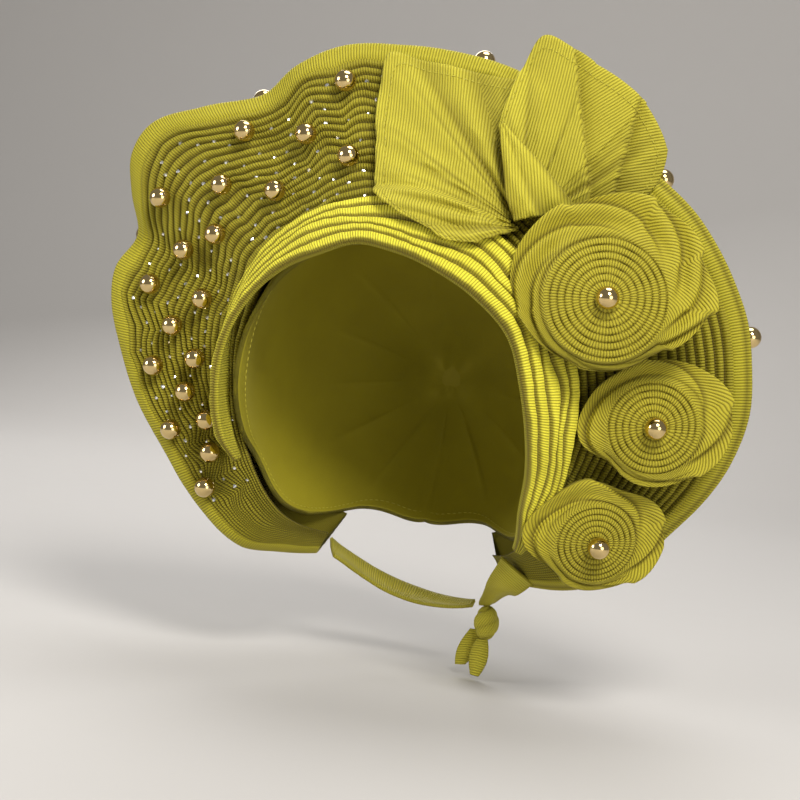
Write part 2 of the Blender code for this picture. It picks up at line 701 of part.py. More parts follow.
def bow_flap(name, rows, onto):
    """One flap of the bow: a sheet fanned about the bow's heart, in soft folds over the halo."""
    heart, _ = on_front(BOW_HEART, PLEAT_HEIGHT)
    trees = [tree_of(other) for other in onto]
    top = []
    for row in rows:
        line = []
        for step in BOW_STEPS:
            x = heart.x + row["reach"] * BOW_SPAN * step * cos(radians(row["bearing"]))
            z = heart.z + row["reach"] * BOW_SPAN * step * sin(radians(row["bearing"]))
            stand = FLAP_WALL + row["lift"] * BOW_LIFT * sin(pi * (0.18 + 0.55 * step))
            line.append((Vector((x, front_of(trees, x, z) - stand, z)), Vector((0, -1, 0))))
        top.append(line)
    made = slab(name, top, FLAP_WALL, "gele_cloth")
    return seat(made, onto, Vector((0, 1, 0)))


def bow_tongue(onto):
    """The folded tongue of cloth that lies over the seam between the two flaps."""
    heart, _ = on_front(BOW_HEART, PLEAT_HEIGHT)
    a = radians(BOW_TONGUE["bearing"])
    along = Vector((cos(a), 0, sin(a)))
    across = Vector((sin(a), 0, -cos(a)))
    trees = [tree_of(other) for other in onto]
    top = []
    for row in BOW_TONGUE_ROWS:
        line = []
        spine = heart + along * BOW_TONGUE["reach"] * BOW_SPAN * row["along"]
        for share, fold in ((0.0, 0.0), (0.3, 0.9), (0.45, 0.2), (0.75, 0.7), (1.0, 0.0)):
            side = (-row["left"] + (row["left"] + row["right"]) * share) * BOW_SPAN
            place = spine + across * side
            crest = BOW_LIFT * (row["lift"] + 0.5 * fold * (1.2 - row["along"]))
            place.y = front_of(trees, place.x, place.z) - crest - FLAP_WALL
            line.append((place, Vector((0, -1, 0))))
        top.append(line)
    made = slab("bow_tongue", top, FLAP_WALL, "gele_cloth")
    return seat(made, onto, Vector((0, 1, 0)))


def bead(name, place, outward, onto):
    """A round bead, moved out from the cloth until it only just clears it."""
    radius = BEAD_DIAMETER / 2
    sides, rings = 10, 5
    trees = [tree_of(other) for other in onto]
    centre = place + outward * 0.06
    for _ in range(200):
        room = min(tree.find_nearest(centre)[3] for tree in trees) - radius - SEAT_GAP
        if room < 0.00002:
            break
        centre = centre - outward * room
    points = [centre + Vector((0, 0, radius))]
    for ring in range(1, rings):
        t = pi * ring / rings
        for side in range(sides):
            a = 2 * pi * side / sides
            points.append(centre + Vector((sin(t) * cos(a), sin(t) * sin(a), cos(t))) * radius)
    points.append(centre - Vector((0, 0, radius)))
    return mesh_object(name, points, globe_faces(sides, rings), "gold_bead")


def tie_line(rows):
    """Middle points, outward directions and widths of a tie, smoothly between its rows."""
    table = [{**row, "turn": row["angle"], "angle": k} for k, row in enumerate(rows)]
    line = []
    for s in range(3 * (len(rows) - 1) + 1):
        angle, reach, forward, width, facing = (
            value_at(table, column, s / 3) for column in ("turn", "reach", "forward", "width", "facing")
        )
        section = Vector((head_radius(angle) + CAP_WALL + reach * HALO_WIDTH, -forward * RIM_FORWARD))
        away = in_space(angle, Vector((1, 0.3))) - in_space(angle, Vector((0, 0)))
        outward = away.normalized() * (1 - facing) + Vector((0, -1, 0)) * facing
        line.append((in_space(angle, section), outward.normalized(), width * STRAP_WIDTH))
    return line


def tie(name):
    """A flat strap that runs from one end of the halo to the knot at the nape."""
    line = tie_line(TIES[name])
    rows = []
    for k, (middle, outward, width) in enumerate(line):
        run = line[min(k + 1, len(line) - 1)][0] - line[max(k - 1, 0)][0]
        across = run.cross(outward).normalized()
        rows.append([(middle + across * width * side, outward) for side in (-0.5, 0.0, 0.5)])
    return slab(name, rows, STRAP_WALL, "gele_cloth")


def blob(name, centre, size):
    """A small knot of cloth: an ellipsoid with creases round it."""
    sides, rings = 10, 6
    points = [centre + Vector((0, 0, size * 0.6))]
    for ring in range(1, rings):
        t = pi * ring / rings
        crease = 0.5 - 0.06 * (ring % 2)
        for side in range(sides):
            a = 2 * pi * side / sides
            spread = Vector((sin(t) * cos(a) * crease, sin(t) * sin(a) * crease, cos(t) * 0.6))
            points.append(centre + spread * size)
    points.append(centre - Vector((0, 0, size * 0.6)))
    return mesh_object(name, points, globe_faces(sides, rings), "gele_cloth")


def globe_faces(sides, rings):
    """Faces of a globe with one point at each pole."""
    faces = [(0, 1 + s, 1 + (s + 1) % sides) for s in range(sides)]
    for ring in range(rings - 2):
        for side in range(sides):
            a, b = 1 + ring * sides + side, 1 + ring * sides + (side + 1) % sides
            faces.append((a, a + sides, b + sides, b))
    last = 1 + (rings - 2) * sides
    faces += [(last + s, last + sides, last + (s + 1) % sides) for s in range(sides)]
    return faces


def tail(name, start, lean, twist):
    """One hanging end of a strap, slightly twisted."""
    lines = []
    for k in range(6):
        share = k / 5
        middle = start + Vector((lean * share, 0, -TAIL_LENGTH * share))
        a = radians(twist * share)
        across = Vector((cos(a), -sin(a), 0))
        width = STRAP_WIDTH * (0.32 + 0.25 * sin(pi * share))
        lines.append([(middle + across * width * side, Vector((sin(a), cos(a), 0))) for side in (-0.5, 0.0, 0.5)])
    return slab(name, lines, STRAP_WALL, "gele_cloth")


def build():
    """Clears the scene and makes every piece of the gele."""
    for old in list(bpy.data.objects):
        bpy.data.objects.remove(old)
    cap = crown_cap()
    brow = brow_wrap()
    halo = pleated_halo()
    flaps = []
    for name, rows in BOW_FLAPS.items():
        flaps.append(bow_flap(name, rows, [halo, brow, *flaps]))
    tongue = bow_tongue([halo, brow, *flaps])
    flowers = []
    frames = []
    for row in ROSETTES:
        made, *frame = rosette(row, [halo, brow, tongue, *flaps, *flowers])
        flowers.append(made)
        frames.append((row, frame))
    for number, place in enumerate(FRONT_BEADS, 1):
        point, outward = on_front(place, 0)
        bead(f"halo_bead_{number:02d}", point, outward, [halo, brow, *flaps])
    for number, angle in enumerate(RIM_BEADS, 1):
        _, _, centre, _, _ = halo_lines(angle)
        outward_flat = Vector((0.40, 0.92))
        point = in_space(angle, centre)
        outward = (in_space(angle, centre + outward_flat) - point).normalized()
        bead(f"rim_bead_{number:02d}", point, outward, [halo, *flaps])
    for made, (row, (across, up, normal)) in zip(flowers, frames):
        place, _ = on_front(row, 0)
        bead(row["name"].replace("rosette", "rosette_bead"), place, normal, [made])
    straps = []
    for name in TIES:
        line = tie_line(TIES[name])
        towards_halo = Vector((0, 1, 0)) if TIES[name][0]["facing"] else line[0][0] - line[1][0]
        straps.append(seat(tie(name), [halo, cap], towards_halo, 0.01))
    ends = [strap.data.vertices[len(tie_line(TIES[strap.name])) * 3 - 2].co for strap in straps]
    outward = Vector((0.5, -0.5, -0.7)).normalized()
    knot = seat(blob("nape_knot", (ends[0] + ends[1]) / 2, KNOT_SIZE), straps, -outward)
    middle = sum((v.co for v in knot.data.vertices), Vector()) / len(knot.data.vertices)
    for name, side, lean, twist in (("tie_tail_front", -0.10, -0.003, 35), ("tie_tail_back", -0.42, -0.006, -30)):
        start = middle + Vector((KNOT_SIZE * side, -KNOT_SIZE * side, -KNOT_SIZE * 0.6))
        seat(tail(name, start, lean, twist), [knot, *straps], Vector((0, 0, 1)))
    return cap


build()
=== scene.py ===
"""Looks of the tied gele: ribbed cloth in fine pleats, rolled flowers, a fanned bow, beads and clear stones.

The wearer faces -Y and the crown of the head is at the origin. A place on the wrap is given by an angle round
the face, 0 over the forehead and 90 at the wearer's left ear, and by degrees forward of the ear line. All
sizes are in metres, and each piece lies where the solid that it replaces lies.
"""

import random
from math import atan2, cos, degrees, exp, floor, hypot, pi, radians, sin, sqrt

import bpy
import numpy as np
from bpy.props import FloatProperty, FloatVectorProperty, IntProperty, PointerProperty
from mathutils import Matrix, Vector, noise
from mathutils.bvhtree import BVHTree


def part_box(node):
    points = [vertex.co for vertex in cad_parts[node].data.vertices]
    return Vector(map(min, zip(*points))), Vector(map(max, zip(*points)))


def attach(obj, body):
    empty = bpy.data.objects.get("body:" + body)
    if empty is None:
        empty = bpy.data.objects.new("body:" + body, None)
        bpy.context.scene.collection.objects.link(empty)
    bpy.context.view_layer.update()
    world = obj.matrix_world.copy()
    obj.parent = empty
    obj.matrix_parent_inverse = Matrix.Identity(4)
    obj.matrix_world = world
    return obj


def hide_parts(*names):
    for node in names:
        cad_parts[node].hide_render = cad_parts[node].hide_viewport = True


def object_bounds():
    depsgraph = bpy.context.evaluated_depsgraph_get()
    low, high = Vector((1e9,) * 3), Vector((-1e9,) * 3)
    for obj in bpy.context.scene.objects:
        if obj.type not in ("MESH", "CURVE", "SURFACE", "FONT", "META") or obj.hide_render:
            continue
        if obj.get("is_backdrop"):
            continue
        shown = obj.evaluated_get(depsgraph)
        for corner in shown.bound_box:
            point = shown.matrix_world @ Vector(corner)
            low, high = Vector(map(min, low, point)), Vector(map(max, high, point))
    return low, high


bl_info = {
    "name": "Tied gele looks",
    "version": (1, 0, 0),
    "blender": (4, 5, 0),
    "location": "3D View > Sidebar > Gele",
    "description": "Dresses the frame of a tied gele in ribbed cloth, beads and stones",
    "category": "Object",
}

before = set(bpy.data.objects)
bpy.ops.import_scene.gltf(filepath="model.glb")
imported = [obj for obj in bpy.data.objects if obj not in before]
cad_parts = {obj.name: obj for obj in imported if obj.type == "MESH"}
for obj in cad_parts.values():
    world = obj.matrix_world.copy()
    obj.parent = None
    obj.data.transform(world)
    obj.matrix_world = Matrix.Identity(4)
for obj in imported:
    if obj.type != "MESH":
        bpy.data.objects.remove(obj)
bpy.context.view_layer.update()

# Head that the wrap is tied on, and cloth walls
HEAD_BREADTH = 0.156
HEAD_LENGTH = 0.194
HEAD_HEIGHT = 0.190
CAP_WALL = 0.002
BROW_WALL = 0.0024
HALO_WALL = 0.0014
FLAP_WALL = 0.0018
STRAP_WALL = 0.0016
LAYER_GAP = 0.0007
CAP_OUTSIDE = CAP_WALL + LAYER_GAP

# Halo, brow and cap, as in the frame
HALO_WIDTH = 0.080
RIM_FORWARD = 0.034
RIM_ROLL = 0.0046
HALO_DISH = 0.003
FRONT_PLEATS = 20
BACK_PLEATS = 6
PLEAT_HEIGHT = 0.0017
BACK_PLEAT_HEIGHT = 0.0020
BROW_STAND = 0.0090
BROW_FOLDS = 5
GATHERS = 13
GATHER_DEPTH = 0.0016

# Rosettes, bow and straps, as in the frame
ROSETTE_REACH = 0.044
ROSETTE_HEIGHT = 0.0150
ROSETTE_CORE = 0.60
ROSETTE_STALK = 0.50
ROSETTE_SKIRT_LIFT = 0.0060
ROSETTE_SKIRT_WALL = 0.0022
PETAL_RISE = 0.0034
BOW_SPAN = 0.101
BOW_LIFT = 0.0060
DRAPE_STEP = 0.004
STRAP_WIDTH = 0.018

BREADTH_R, LENGTH_R, HEIGHT_R = HEAD_BREADTH / 2, HEAD_LENGTH / 2, HEAD_HEIGHT / 2

# Crumpling of the halo's front: slow and quick sway of the pleats, height and spacing in degrees of their
# zigzag kinks, and how the sewn beads pull the cloth: how strongly, how far, and within how many degrees
PLEAT_SWAY = 0.0019
PLEAT_CRUMPLE = 0.0010
KINK_HEIGHT = 0.0030
KINK_SPACING = 11
BEAD_PULL = 0.30
BEAD_REACH = 0.006
BEAD_SPREAD = 12

# Mean measures of the halo's front: distance from the head's axis, and width from its root to its rim
MEAN_FRONT_RADIUS = 0.135
MEAN_FRONT_WIDTH = 0.06

# Room between stones, and between a stone and a bead
STONE_ROOM = 0.0062
STONE_BEAD_ROOM = 0.0075

# Grid lines of a bow flap for each row of its table
FLAP_LINES = 12


def table(columns, *rows):
    """Rows of numbers under named columns, as a list of dictionaries."""
    return [dict(zip(columns.split(), row)) for row in rows]


# Rim of the halo round the face: its stand from the head as a share of HALO_WIDTH, and how far it lies in
# front of the ears as a share of RIM_FORWARD.
RIM = table(
    "angle reach forward",
    (-152, 0.14, -1.00), (-145, 0.25, -0.47), (-138, 0.37, 0.00), (-125, 0.45, 0.30), (-110, 0.55, 0.44),
    (-99, 0.67, 0.53), (-88, 0.79, 0.59), (-80, 0.89, 0.60), (-74, 0.93, 0.55), (-67, 0.89, 0.45),
    (-61, 1.02, 0.62), (-56, 1.12, 0.74), (-50, 1.12, 0.80), (-42, 0.95, 0.88), (-32, 0.78, 0.82),
    (-24, 0.81, 1.00), (-15, 0.82, 1.02), (-5, 0.77, 1.00), (5, 0.75, 1.00), (17, 0.75, 1.00),
    (31, 0.77, 0.95), (42, 0.81, 0.88), (54, 0.91, 0.82), (63, 0.96, 0.74), (72, 1.00, 0.65),
    (80, 1.00, 0.59), (88, 0.99, 0.53), (95, 0.94, 0.44), (103, 0.85, 0.35), (113, 0.72, 0.24),
    (123, 0.63, 0.12), (132, 0.50, 0.00), (144, 0.27, -0.38), (152, 0.14, -0.95),
)

# Where the halo's walls meet the head, in degrees forward of the ears.
HALO_ROOT = table(
    "angle front back",
    (-152, -18, -31), (-138, -1, -25), (-120, 6, -30), (-90, 13, -34), (-60, 21, -30), (-30, 30, -20),
    (0, 35, -14), (30, 31, -20), (60, 25.5, -30), (90, 21, -34), (120, 16, -30), (138, 2, -24),
    (152, -18, -31),
)

# Brow folds: degrees forward of the free edge and of the root, and their stand as a share of BROW_STAND.
BROW = table(
    "angle edge edge_stand root root_stand",
    (-119, 14, 0.50, 11, 0.40), (-110, 22, 0.95, 13, 0.50), (-95, 26, 1.12, 14, 0.55),
    (-78, 28, 1.02, 17, 0.75), (-61, 32, 0.65, 23, 0.95), (-43, 38, 0.20, 28, 1.00),
    (-30, 43, 0.00, 32, 1.00), (-15, 46, 0.00, 36, 1.00), (0, 50, 0.00, 37, 1.00),
    (20, 51, 0.00, 35, 1.00), (40, 48, 0.00, 32, 1.00), (60, 43, 0.00, 28, 1.00),
    (80, 41, 0.00, 24, 1.00), (98, 37, 0.00, 23, 1.00), (114, 31, 0.00, 20, 0.90),
    (127, 26, 0.20, 16, 0.70), (138, 14, 0.30, 9, 0.40),
)

# Front edge of the crown cap in degrees forward of the ears, and its flare as a share of BROW_STAND.
CAP_EDGE = table(
    "angle forward flare",
    (-180, -42, 0.0), (-155, -36, 0.0), (-138, -4, 0.0), (-120, 5, 0.0), (-110, 14, 0.2), (-95, 21, 0.35),
    (-78, 23, 0.3), (-61, 27, 0.1), (-30, 40, 0.0), (0, 47, 0.0), (30, 46, 0.0), (60, 40, 0.0),
    (90, 35, 0.0), (114, 27, 0.0), (130, 10, 0.0), (140, -8, 0.0), (155, -36, 0.0), (180, -42, 0.0),
)

# Rosettes: place round the face and between the halo's root and rim, size, bearing where the ribbon starts,
# wound turns of the tight core, number of petal folds, and how many of them a line from the core crosses.
ROSETTES = table(
    "name angle out size turn turns arms sweep",
    ("top", 61, 0.31, 1.02, -40, 8.4, 8, 1.9),
    ("middle", 91, 0.50, 0.79, -70, 7.0, 4, 1.1),
    ("bottom", 120.5, 0.49, 0.71, 20, 7.0, 4, 1.1),
)

# Outline of each rosette, counted round it from the right, as shares of its reach.
ROSETTE_OUTLINE = {
    "top": table(
        "angle reach",
        (0, 1.08), (30, 1.06), (60, 1.10), (95, 1.04), (135, 1.00), (170, 0.98), (205, 0.80), (240, 0.72),
        (275, 0.68), (300, 0.66), (330, 0.80), (360, 1.08),
    ),
    "middle": table(
        "angle reach",
        (0, 1.06), (25, 1.08), (55, 0.98), (90, 0.90), (125, 0.82), (160, 0.90), (195, 0.98), (225, 0.74),
        (262, 0.76), (300, 0.82), (330, 0.92), (360, 1.06),
    ),
    "bottom": table(
        "angle reach",
        (0, 1.08), (35, 1.05), (70, 0.88), (105, 0.96), (140, 0.94), (180, 1.10), (215, 0.80), (250, 0.76),
        (290, 0.78), (325, 0.92), (360, 1.08),
    ),
}

# Bow: its heart, then its flaps fanned about it: bearing, length as a share of BOW_SPAN, and lift as a share
# of BOW_LIFT. grain is the bearing of the cloth's ribs there.
BOW_HEART = {"angle": 33, "out": 0.22}
BOW_FLAPS = {
    "left": table(
        "bearing reach lift grain",
        (210, 0.18, 0.30, 140), (196, 0.30, 0.85, 140), (186, 0.38, 0.35, 94), (176, 0.55, 0.95, 94),
        (170, 0.66, 0.55, 94), (163, 0.70, 1.05, 94), (155, 0.76, 0.75, 94), (149, 0.83, 0.90, 94),
        (141, 0.92, 0.60, 94), (134, 1.00, 0.80, 94), (128, 0.89, 0.30, 94), (121, 0.80, 0.75, 94),
        (114, 0.73, 0.15, 66), (106, 0.68, 0.35, 66), (98, 0.65, 0.05, 66), (91, 0.60, 0.05, 66),
    ),
    "right": table(
        "bearing reach lift grain",
        (110, 0.46, 0.55, 82), (104, 0.56, 0.85, 82), (97, 0.71, 0.75, 82), (91, 0.85, 0.60, 82),
        (82, 0.82, 0.90, 82), (74, 0.79, 0.85, 82), (72, 0.78, 0.75, 82), (63, 0.77, 0.70, 82),
        (53, 0.76, 0.75, 82), (51, 0.75, 0.60, 82), (43, 0.73, 0.60, 82), (36, 0.71, 0.50, 82),
        (34, 0.70, 0.40, 82), (26, 0.62, 0.35, 82), (18, 0.50, 0.10, 82),
    ),
}

# Folds of the right flap, each over the cloth to its right: two points of its line from the bow's heart, as
# shares of BOW_SPAN, and the bearing of the ribs to its right.
# The cloth just right of each fold line is painted darker, as the shadow that the fold casts.
FAN_FOLDS = table(
    "top_x top_z foot_x foot_z grain",
    (0.15, 0.68, 0.26, 0.19, 37), (0.43, 0.62, 0.37, 0.21, 14),
)

# Folded tongue between the flaps: along its spine, widths to the left and right as shares of BOW_SPAN, lift.
BOW_TONGUE = {"bearing": 108, "reach": 0.46}
BOW_TONGUE_ROWS = table(
    "along left right lift",
    (0.06, 0.02, 0.25, 0.25), (0.30, 0.03, 0.20, 0.55), (0.60, 0.02, 0.13, 0.65), (0.85, 0.01, 0.06, 0.55),
    (1.00, 0.00, 0.02, 0.35),
)

# Beads on the halo's front: place round the face and from its root, 0, to its rim, 1.
FRONT_BEADS = table(
    "angle out",
    (-15, 0.80), (-37, 0.80), (-25, 0.58), (-16, 0.34), (-58, 0.76), (-47, 0.52), (-37, 0.35), (-56, 0.36),
    (-64, 0.58), (-74, 0.73), (-72, 0.34), (-81, 0.53), (-91, 0.75), (-88, 0.36), (-97, 0.51),
    (-106, 0.82), (-105, 0.38), (-114, 0.49), (-122, 0.80),
)
RIM_BEAD_COUNT = 5

# Ties from the halo's ends to the knot: angle, reach and forward as for the rim, width as a share of
# STRAP_WIDTH, and how far the strap faces front, 1, or away from the neck, 0.
TIES = {
    "left": table(
        "angle reach forward width facing",
        (145.0, 0.13, -0.20, 1.10, 1.0), (151.0, 0.16, -0.42, 0.88, 0.9), (155.5, 0.20, -0.85, 0.62, 0.6),
        (159.5, 0.25, -1.22, 0.45, 0.4),
    ),
    "right": table(
        "angle reach forward width facing",
        (-155.0, 0.06, -1.25, 0.90, 0.0), (-165.0, 0.10, -1.60, 0.90, 0.0), (-180.0, 0.17, -1.80, 0.85, 0.0),
        (-196.5, 0.24, -1.58, 0.50, 0.1),
    ),
}

CAMERA = {"azimuth": 12.0, "elevation": 4.0, "roll": 6.0, "distance": 0.8, "lens": 82.8}
CAMERA_AIM = {"point": (0.0, -0.082, -0.110), "right": -0.01304, "up": 0.01304}


def value_at(rows, column, angle):
    """Reads a column of a table at any angle, smoothly between its rows."""
    places = [row["angle"] for row in rows]
    values = [row[column] for row in rows]
    if angle <= places[0]:
        return values[0]
    if angle >= places[-1]:
        return values[-1]
    i = max(k for k in range(len(places) - 1) if places[k] <= angle)

    def slope(k):
        low, high = max(k - 1, 0), min(k + 1, len(places) - 1)
        return (values[high] - values[low]) / (places[high] - places[low])

    span = places[i + 1] - places[i]
    t = (angle - places[i]) / span
    return (
        (2 * t**3 - 3 * t**2 + 1) * values[i]
        + (t**3 - 2 * t**2 + t) * span * slope(i)
        + (3 * t**2 - 2 * t**3) * values[i + 1]
        + (t**3 - t**2) * span * slope(i + 1)
    )


def numbered(rows):
    """The same rows with their own number as angle, so that value_at can read between them."""
    return [{**row, "turn": row.get("angle"), "angle": k} for k, row in enumerate(rows)]


def ease(low, high, x):
    """0 below low, 1 above high, smooth between them."""
    t = max(0.0, min(1.0, (x - low) / (high - low)))
    return t * t * (3 - 2 * t)


def wander(x, y=0.0, z=0.0):
    """Smooth repeatable noise from about -1 to 1."""
    return noise.noise(Vector((x, y, z + 7.3)))


def loaf(t, power=2.6):
    """Section of a soft roll: 0 at both sides, full and round between them."""
    return max(0.0, 1 - abs(2 * t - 1) ** power) ** 0.5


def head_radius(angle):
    """Distance from the head's axis to its surface over the ears."""
    a = radians(angle)
    return 1 / sqrt((sin(a) / BREADTH_R) ** 2 + (cos(a) / HEIGHT_R) ** 2)


def over_head(angle, forward, stand):
    """(distance from the head's axis, y) of a place that stands off the head."""
    f = radians(forward)
    return Vector(((head_radius(angle) + stand) * cos(f), -(LENGTH_R + stand) * sin(f)))


def in_space(angle, section_point):
    """The point in space of a (distance from axis, y) pair at an angle round the face."""
    a = radians(angle)
    return Vector((section_point[0] * sin(a), section_point[1], section_point[0] * cos(a) - HEIGHT_R))


def halo_lines(angle):
    """The halo's base lines at an angle: root and rim end of its front wall, rim centre, back wall's ends."""
    reach = head_radius(angle) + CAP_WALL + HALO_WIDTH * value_at(RIM, "reach", angle)
    forward = value_at(RIM, "forward", angle) * RIM_FORWARD
    stand = CAP_OUTSIDE + HALO_WALL
    root = over_head(angle, value_at(HALO_ROOT, "front", angle), stand)
    back_root = over_head(angle, value_at(HALO_ROOT, "back", angle), stand)
    centre = Vector((reach - RIM_ROLL, -forward + RIM_ROLL))
    return root, centre + Vector((0, -RIM_ROLL)), centre, centre + Vector((0, RIM_ROLL)), back_root


def wall_frame(start, end):
    """Length, direction and outward normal of a straight base line that runs away from the head."""
    along = end - start
    length = along.length
    along = along / length
    return length, along, Vector((along[1], -along[0]))


def front_wall(angle, out):
    """(base point, outward normal) of the halo's front wall, out from its root, 0, to its rim, 1."""
    root, rim, _, _, _ = halo_lines(angle)
    _, _, normal = wall_frame(root, rim)
    return root + (rim - root) * out - normal * HALO_DISH * sin(pi * out), normal


def on_front(place, height):
    """(point, outward normal) in space above the halo's front wall."""
    angle = place["angle"]
    base, normal = front_wall(angle, place["out"])
    point = in_space(angle, base + normal * height)
    return point, (in_space(angle, base + normal) - in_space(angle, base)).normalized()


def settings():
    """The sizes and colours set in the scene."""
    return bpy.context.scene.gele_sizes, bpy.context.scene.gele_colours


# Meshes


def mesh_object(name, points, quads, quad_uvs, shade, triangles=(), triangle_uvs=()):
    """An object from points and faces, with the weave's UV map and the painted shade of each point."""
    triangles = np.asarray(triangles, int).reshape(-1, 3)
    triangle_uvs = np.asarray(triangle_uvs, float).reshape(-1, 3, 2)
    mesh = bpy.data.meshes.new(name)
    mesh.vertices.add(len(points))
    mesh.vertices.foreach_set("co", np.asarray(points, float).ravel())
    mesh.loops.add(quads.size + triangles.size)
    mesh.loops.foreach_set("vertex_index", np.concatenate([quads.ravel(), triangles.ravel()]))
    mesh.polygons.add(len(quads) + len(triangles))
    starts = np.concatenate([np.arange(len(quads)) * 4, quads.size + np.arange(len(triangles)) * 3])
    mesh.polygons.foreach_set("loop_start", starts)
    mesh.update(calc_edges=True)
    weave = mesh.uv_layers.new(name="Weave")
    weave.data.foreach_set("uv", np.concatenate([np.asarray(quad_uvs, float).ravel(), triangle_uvs.ravel()]))
    # The shade attribute is painted shade: low in the folds, valleys and gaps of each piece, high on its
    # crests and rims.
    wear_and_painted_shade = mesh.attributes.new("shade", "FLOAT", "POINT")
    wear_and_painted_shade.data.foreach_set("value", np.asarray(shade, float).ravel())
    mesh.shade_smooth()
    made = bpy.data.objects.new(name, mesh)
    bpy.context.scene.collection.objects.link(made)
    return made


def enclosed(points, faces):
    """Six times the volume within faces, above zero where they face outwards."""
    corners = points[faces]
    return sum(
        np.einsum("ij,ij->", corners[:, 0], np.cross(corners[:, k], corners[:, k + 1]))
        for k in range(1, faces.shape[1] - 1)
    )


def shell(name, points, quads, quad_uvs, triangles, triangle_uvs, shade):
    """A closed object whose faces all look outwards."""
    points = np.asarray(points, float)
    if enclosed(points, quads) + enclosed(points, triangles) < 0:
        quads, quad_uvs = quads[:, ::-1], quad_uvs[:, ::-1]
        triangles, triangle_uvs = triangles[:, ::-1], triangle_uvs[:, ::-1]
    return mesh_object(name, points, quads, quad_uvs, shade, triangles, triangle_uvs)


def end_faces(count, first, last, turned=True):
    """Triangles from two poles, numbered count and count + 1, to the first and the last ring of points."""
    made = []
    for pole, ring, flip in ((count, first, turned), (count + 1, last, not turned)):
        after = np.roll(ring, -1)
        made.append(np.stack([np.full(len(ring), pole), *((after, ring) if flip else (ring, after))], 1))
    return np.concatenate(made)


def grid_faces(rows, columns, wrap_rows=False, wrap_columns=False):
    """Corner indices of a grid's faces, and the grid places (row, column) that they start at."""
    r = np.arange(rows if wrap_rows else rows - 1)
    c = np.arange(columns if wrap_columns else columns - 1)
    r, c = np.meshgrid(r, c, indexing="ij")
    n, m = (r + 1) % rows, (c + 1) % columns
    faces = np.stack([r * columns + c, r * columns + m, n * columns + m, n * columns + c], -1)
    return faces.reshape(-1, 4), r.ravel(), c.ravel()


def grid_uvs(left, right, r, c):
    """UVs of a grid's faces from those at the left and right edge of each column, one row longer than r."""
    return np.stack([left[r, c], right[r, c], right[r + 1, c], left[r + 1, c]], 1)


def point_uvs(uvs, r, c):
    """UVs of a grid's faces from those of its points."""
    return grid_uvs(uvs[:, :-1], uvs[:, 1:], r, c)


def tube(name, sections, left, right, shade):
    """Closed sections joined into one capped solid. left and right are the UVs at each column's sides."""
    points = np.asarray(sections, float)
    rows, columns = points.shape[:2]
    faces, r, c = grid_faces(rows, columns, wrap_columns=True)
    uvs = grid_uvs(left, right, r, c)
    flat = points.reshape(-1, 3)
    ends = np.stack([points[0].mean(0), points[-1].mean(0)])
    ring, shift = np.arange(columns), (rows - 1) * columns
    triangles = end_faces(len(flat), ring, shift + ring)
    triangle_uvs = np.concatenate([np.stack([left[0], right[0], left[0]], 1), np.stack([left[-1]] * 3, 1)])
    painted_shades = np.concatenate([np.asarray(shade, float).ravel(), [0.5, 0.5]])
    return shell(name, np.concatenate([flat, ends]), faces, uvs, triangles, triangle_uvs, painted_shades)


def sheet_of(name, points, uvs, shade, wall, towards):
    """A single layer of cloth from a grid of points, given its wall by Solidify away from its front.

    The UVs are those of the points, or of the corners of each face where the weave breaks between faces.
    """
    points = np.asarray(points, float)
    rows, columns = points.shape[:2]
    faces, r, c = grid_faces(rows, columns)
    uvs = np.asarray(uvs, float)
    corner_uvs = uvs if len(uvs) == len(faces) else point_uvs(uvs, r, c)
    flat = points.reshape(-1, 3)
    corners = flat[faces]
    facing = np.cross(corners[:, 1] - corners[:, 0], corners[:, 3] - corners[:, 0]).sum(0)
    if facing @ np.asarray(towards, float) < 0:
        faces, corner_uvs = faces[:, ::-1], corner_uvs[:, ::-1]
    made = mesh_object(name, flat, faces, corner_uvs, shade)
    thicken = made.modifiers.new("Wall", "SOLIDIFY")
    thicken.thickness = wall
    thicken.offset = -1
    return made


def lengths_along(points, axis):
    """Distance run along a grid of points, from its first row (axis 0) or column (axis 1)."""
    steps = np.linalg.norm(np.diff(points, axis=axis), axis=2)
    zero = np.zeros_like(steps[:1] if axis == 0 else steps[:, :1])
    return np.concatenate([zero, np.cumsum(steps, axis=axis)], axis=axis)


def side_uvs(along, across):
    """UVs at both sides of a tube's columns, from the run along them and the places of their sides."""
    return [np.stack([along, np.broadcast_to(side, along.shape)], -1) for side in (across[:-1], across[1:])]


def strip_uvs(points):
    """UVs of a grid of points that lies as a strip, along its rows and across them."""
    along, across = lengths_along(points, 0).mean(1), lengths_along(points, 1).mean(0)
    return np.stack(np.broadcast_arrays(along[:, None], across[None, :]), -1)


def cad_points(node):
    """The points of a solid of the frame."""
    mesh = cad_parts[node].data
    points = np.zeros(len(mesh.vertices) * 3)
    mesh.vertices.foreach_get("co", points)
    return points.reshape(-1, 3)


def search_tree(made):
    """A search tree over a finished object's faces."""
    return BVHTree.FromObject(made, bpy.context.evaluated_depsgraph_get())


def dress(made, material, *nodes, slot="gele_cloth"):
    """Gives a piece its material, and lets it ride in place of the solids it stands for."""
    made.data.materials.clear()
    made.data.materials.append(material)
    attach(made, "root")
    if nodes:
        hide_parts(*nodes)
    return made


# Materials


def add_node(tree, kind, **values):
    """A node in a tree, with its settings."""
    made = tree.nodes.new(kind)
    for name, value in values.items():
        setattr(made, name, value)
    return made


def maths(tree, operation, first, second=None, third=None):
    """The output of a Math node whose inputs are numbers or other outputs."""
    made = add_node(tree, "ShaderNodeMath", operation=operation)
    for socket, value in zip(made.inputs, (first, second, third)):
        if value is None:
            continue
        if isinstance(value, (int, float)):
            socket.default_value = value
        else:
            tree.links.new(value, socket)
    return made.outputs[0]


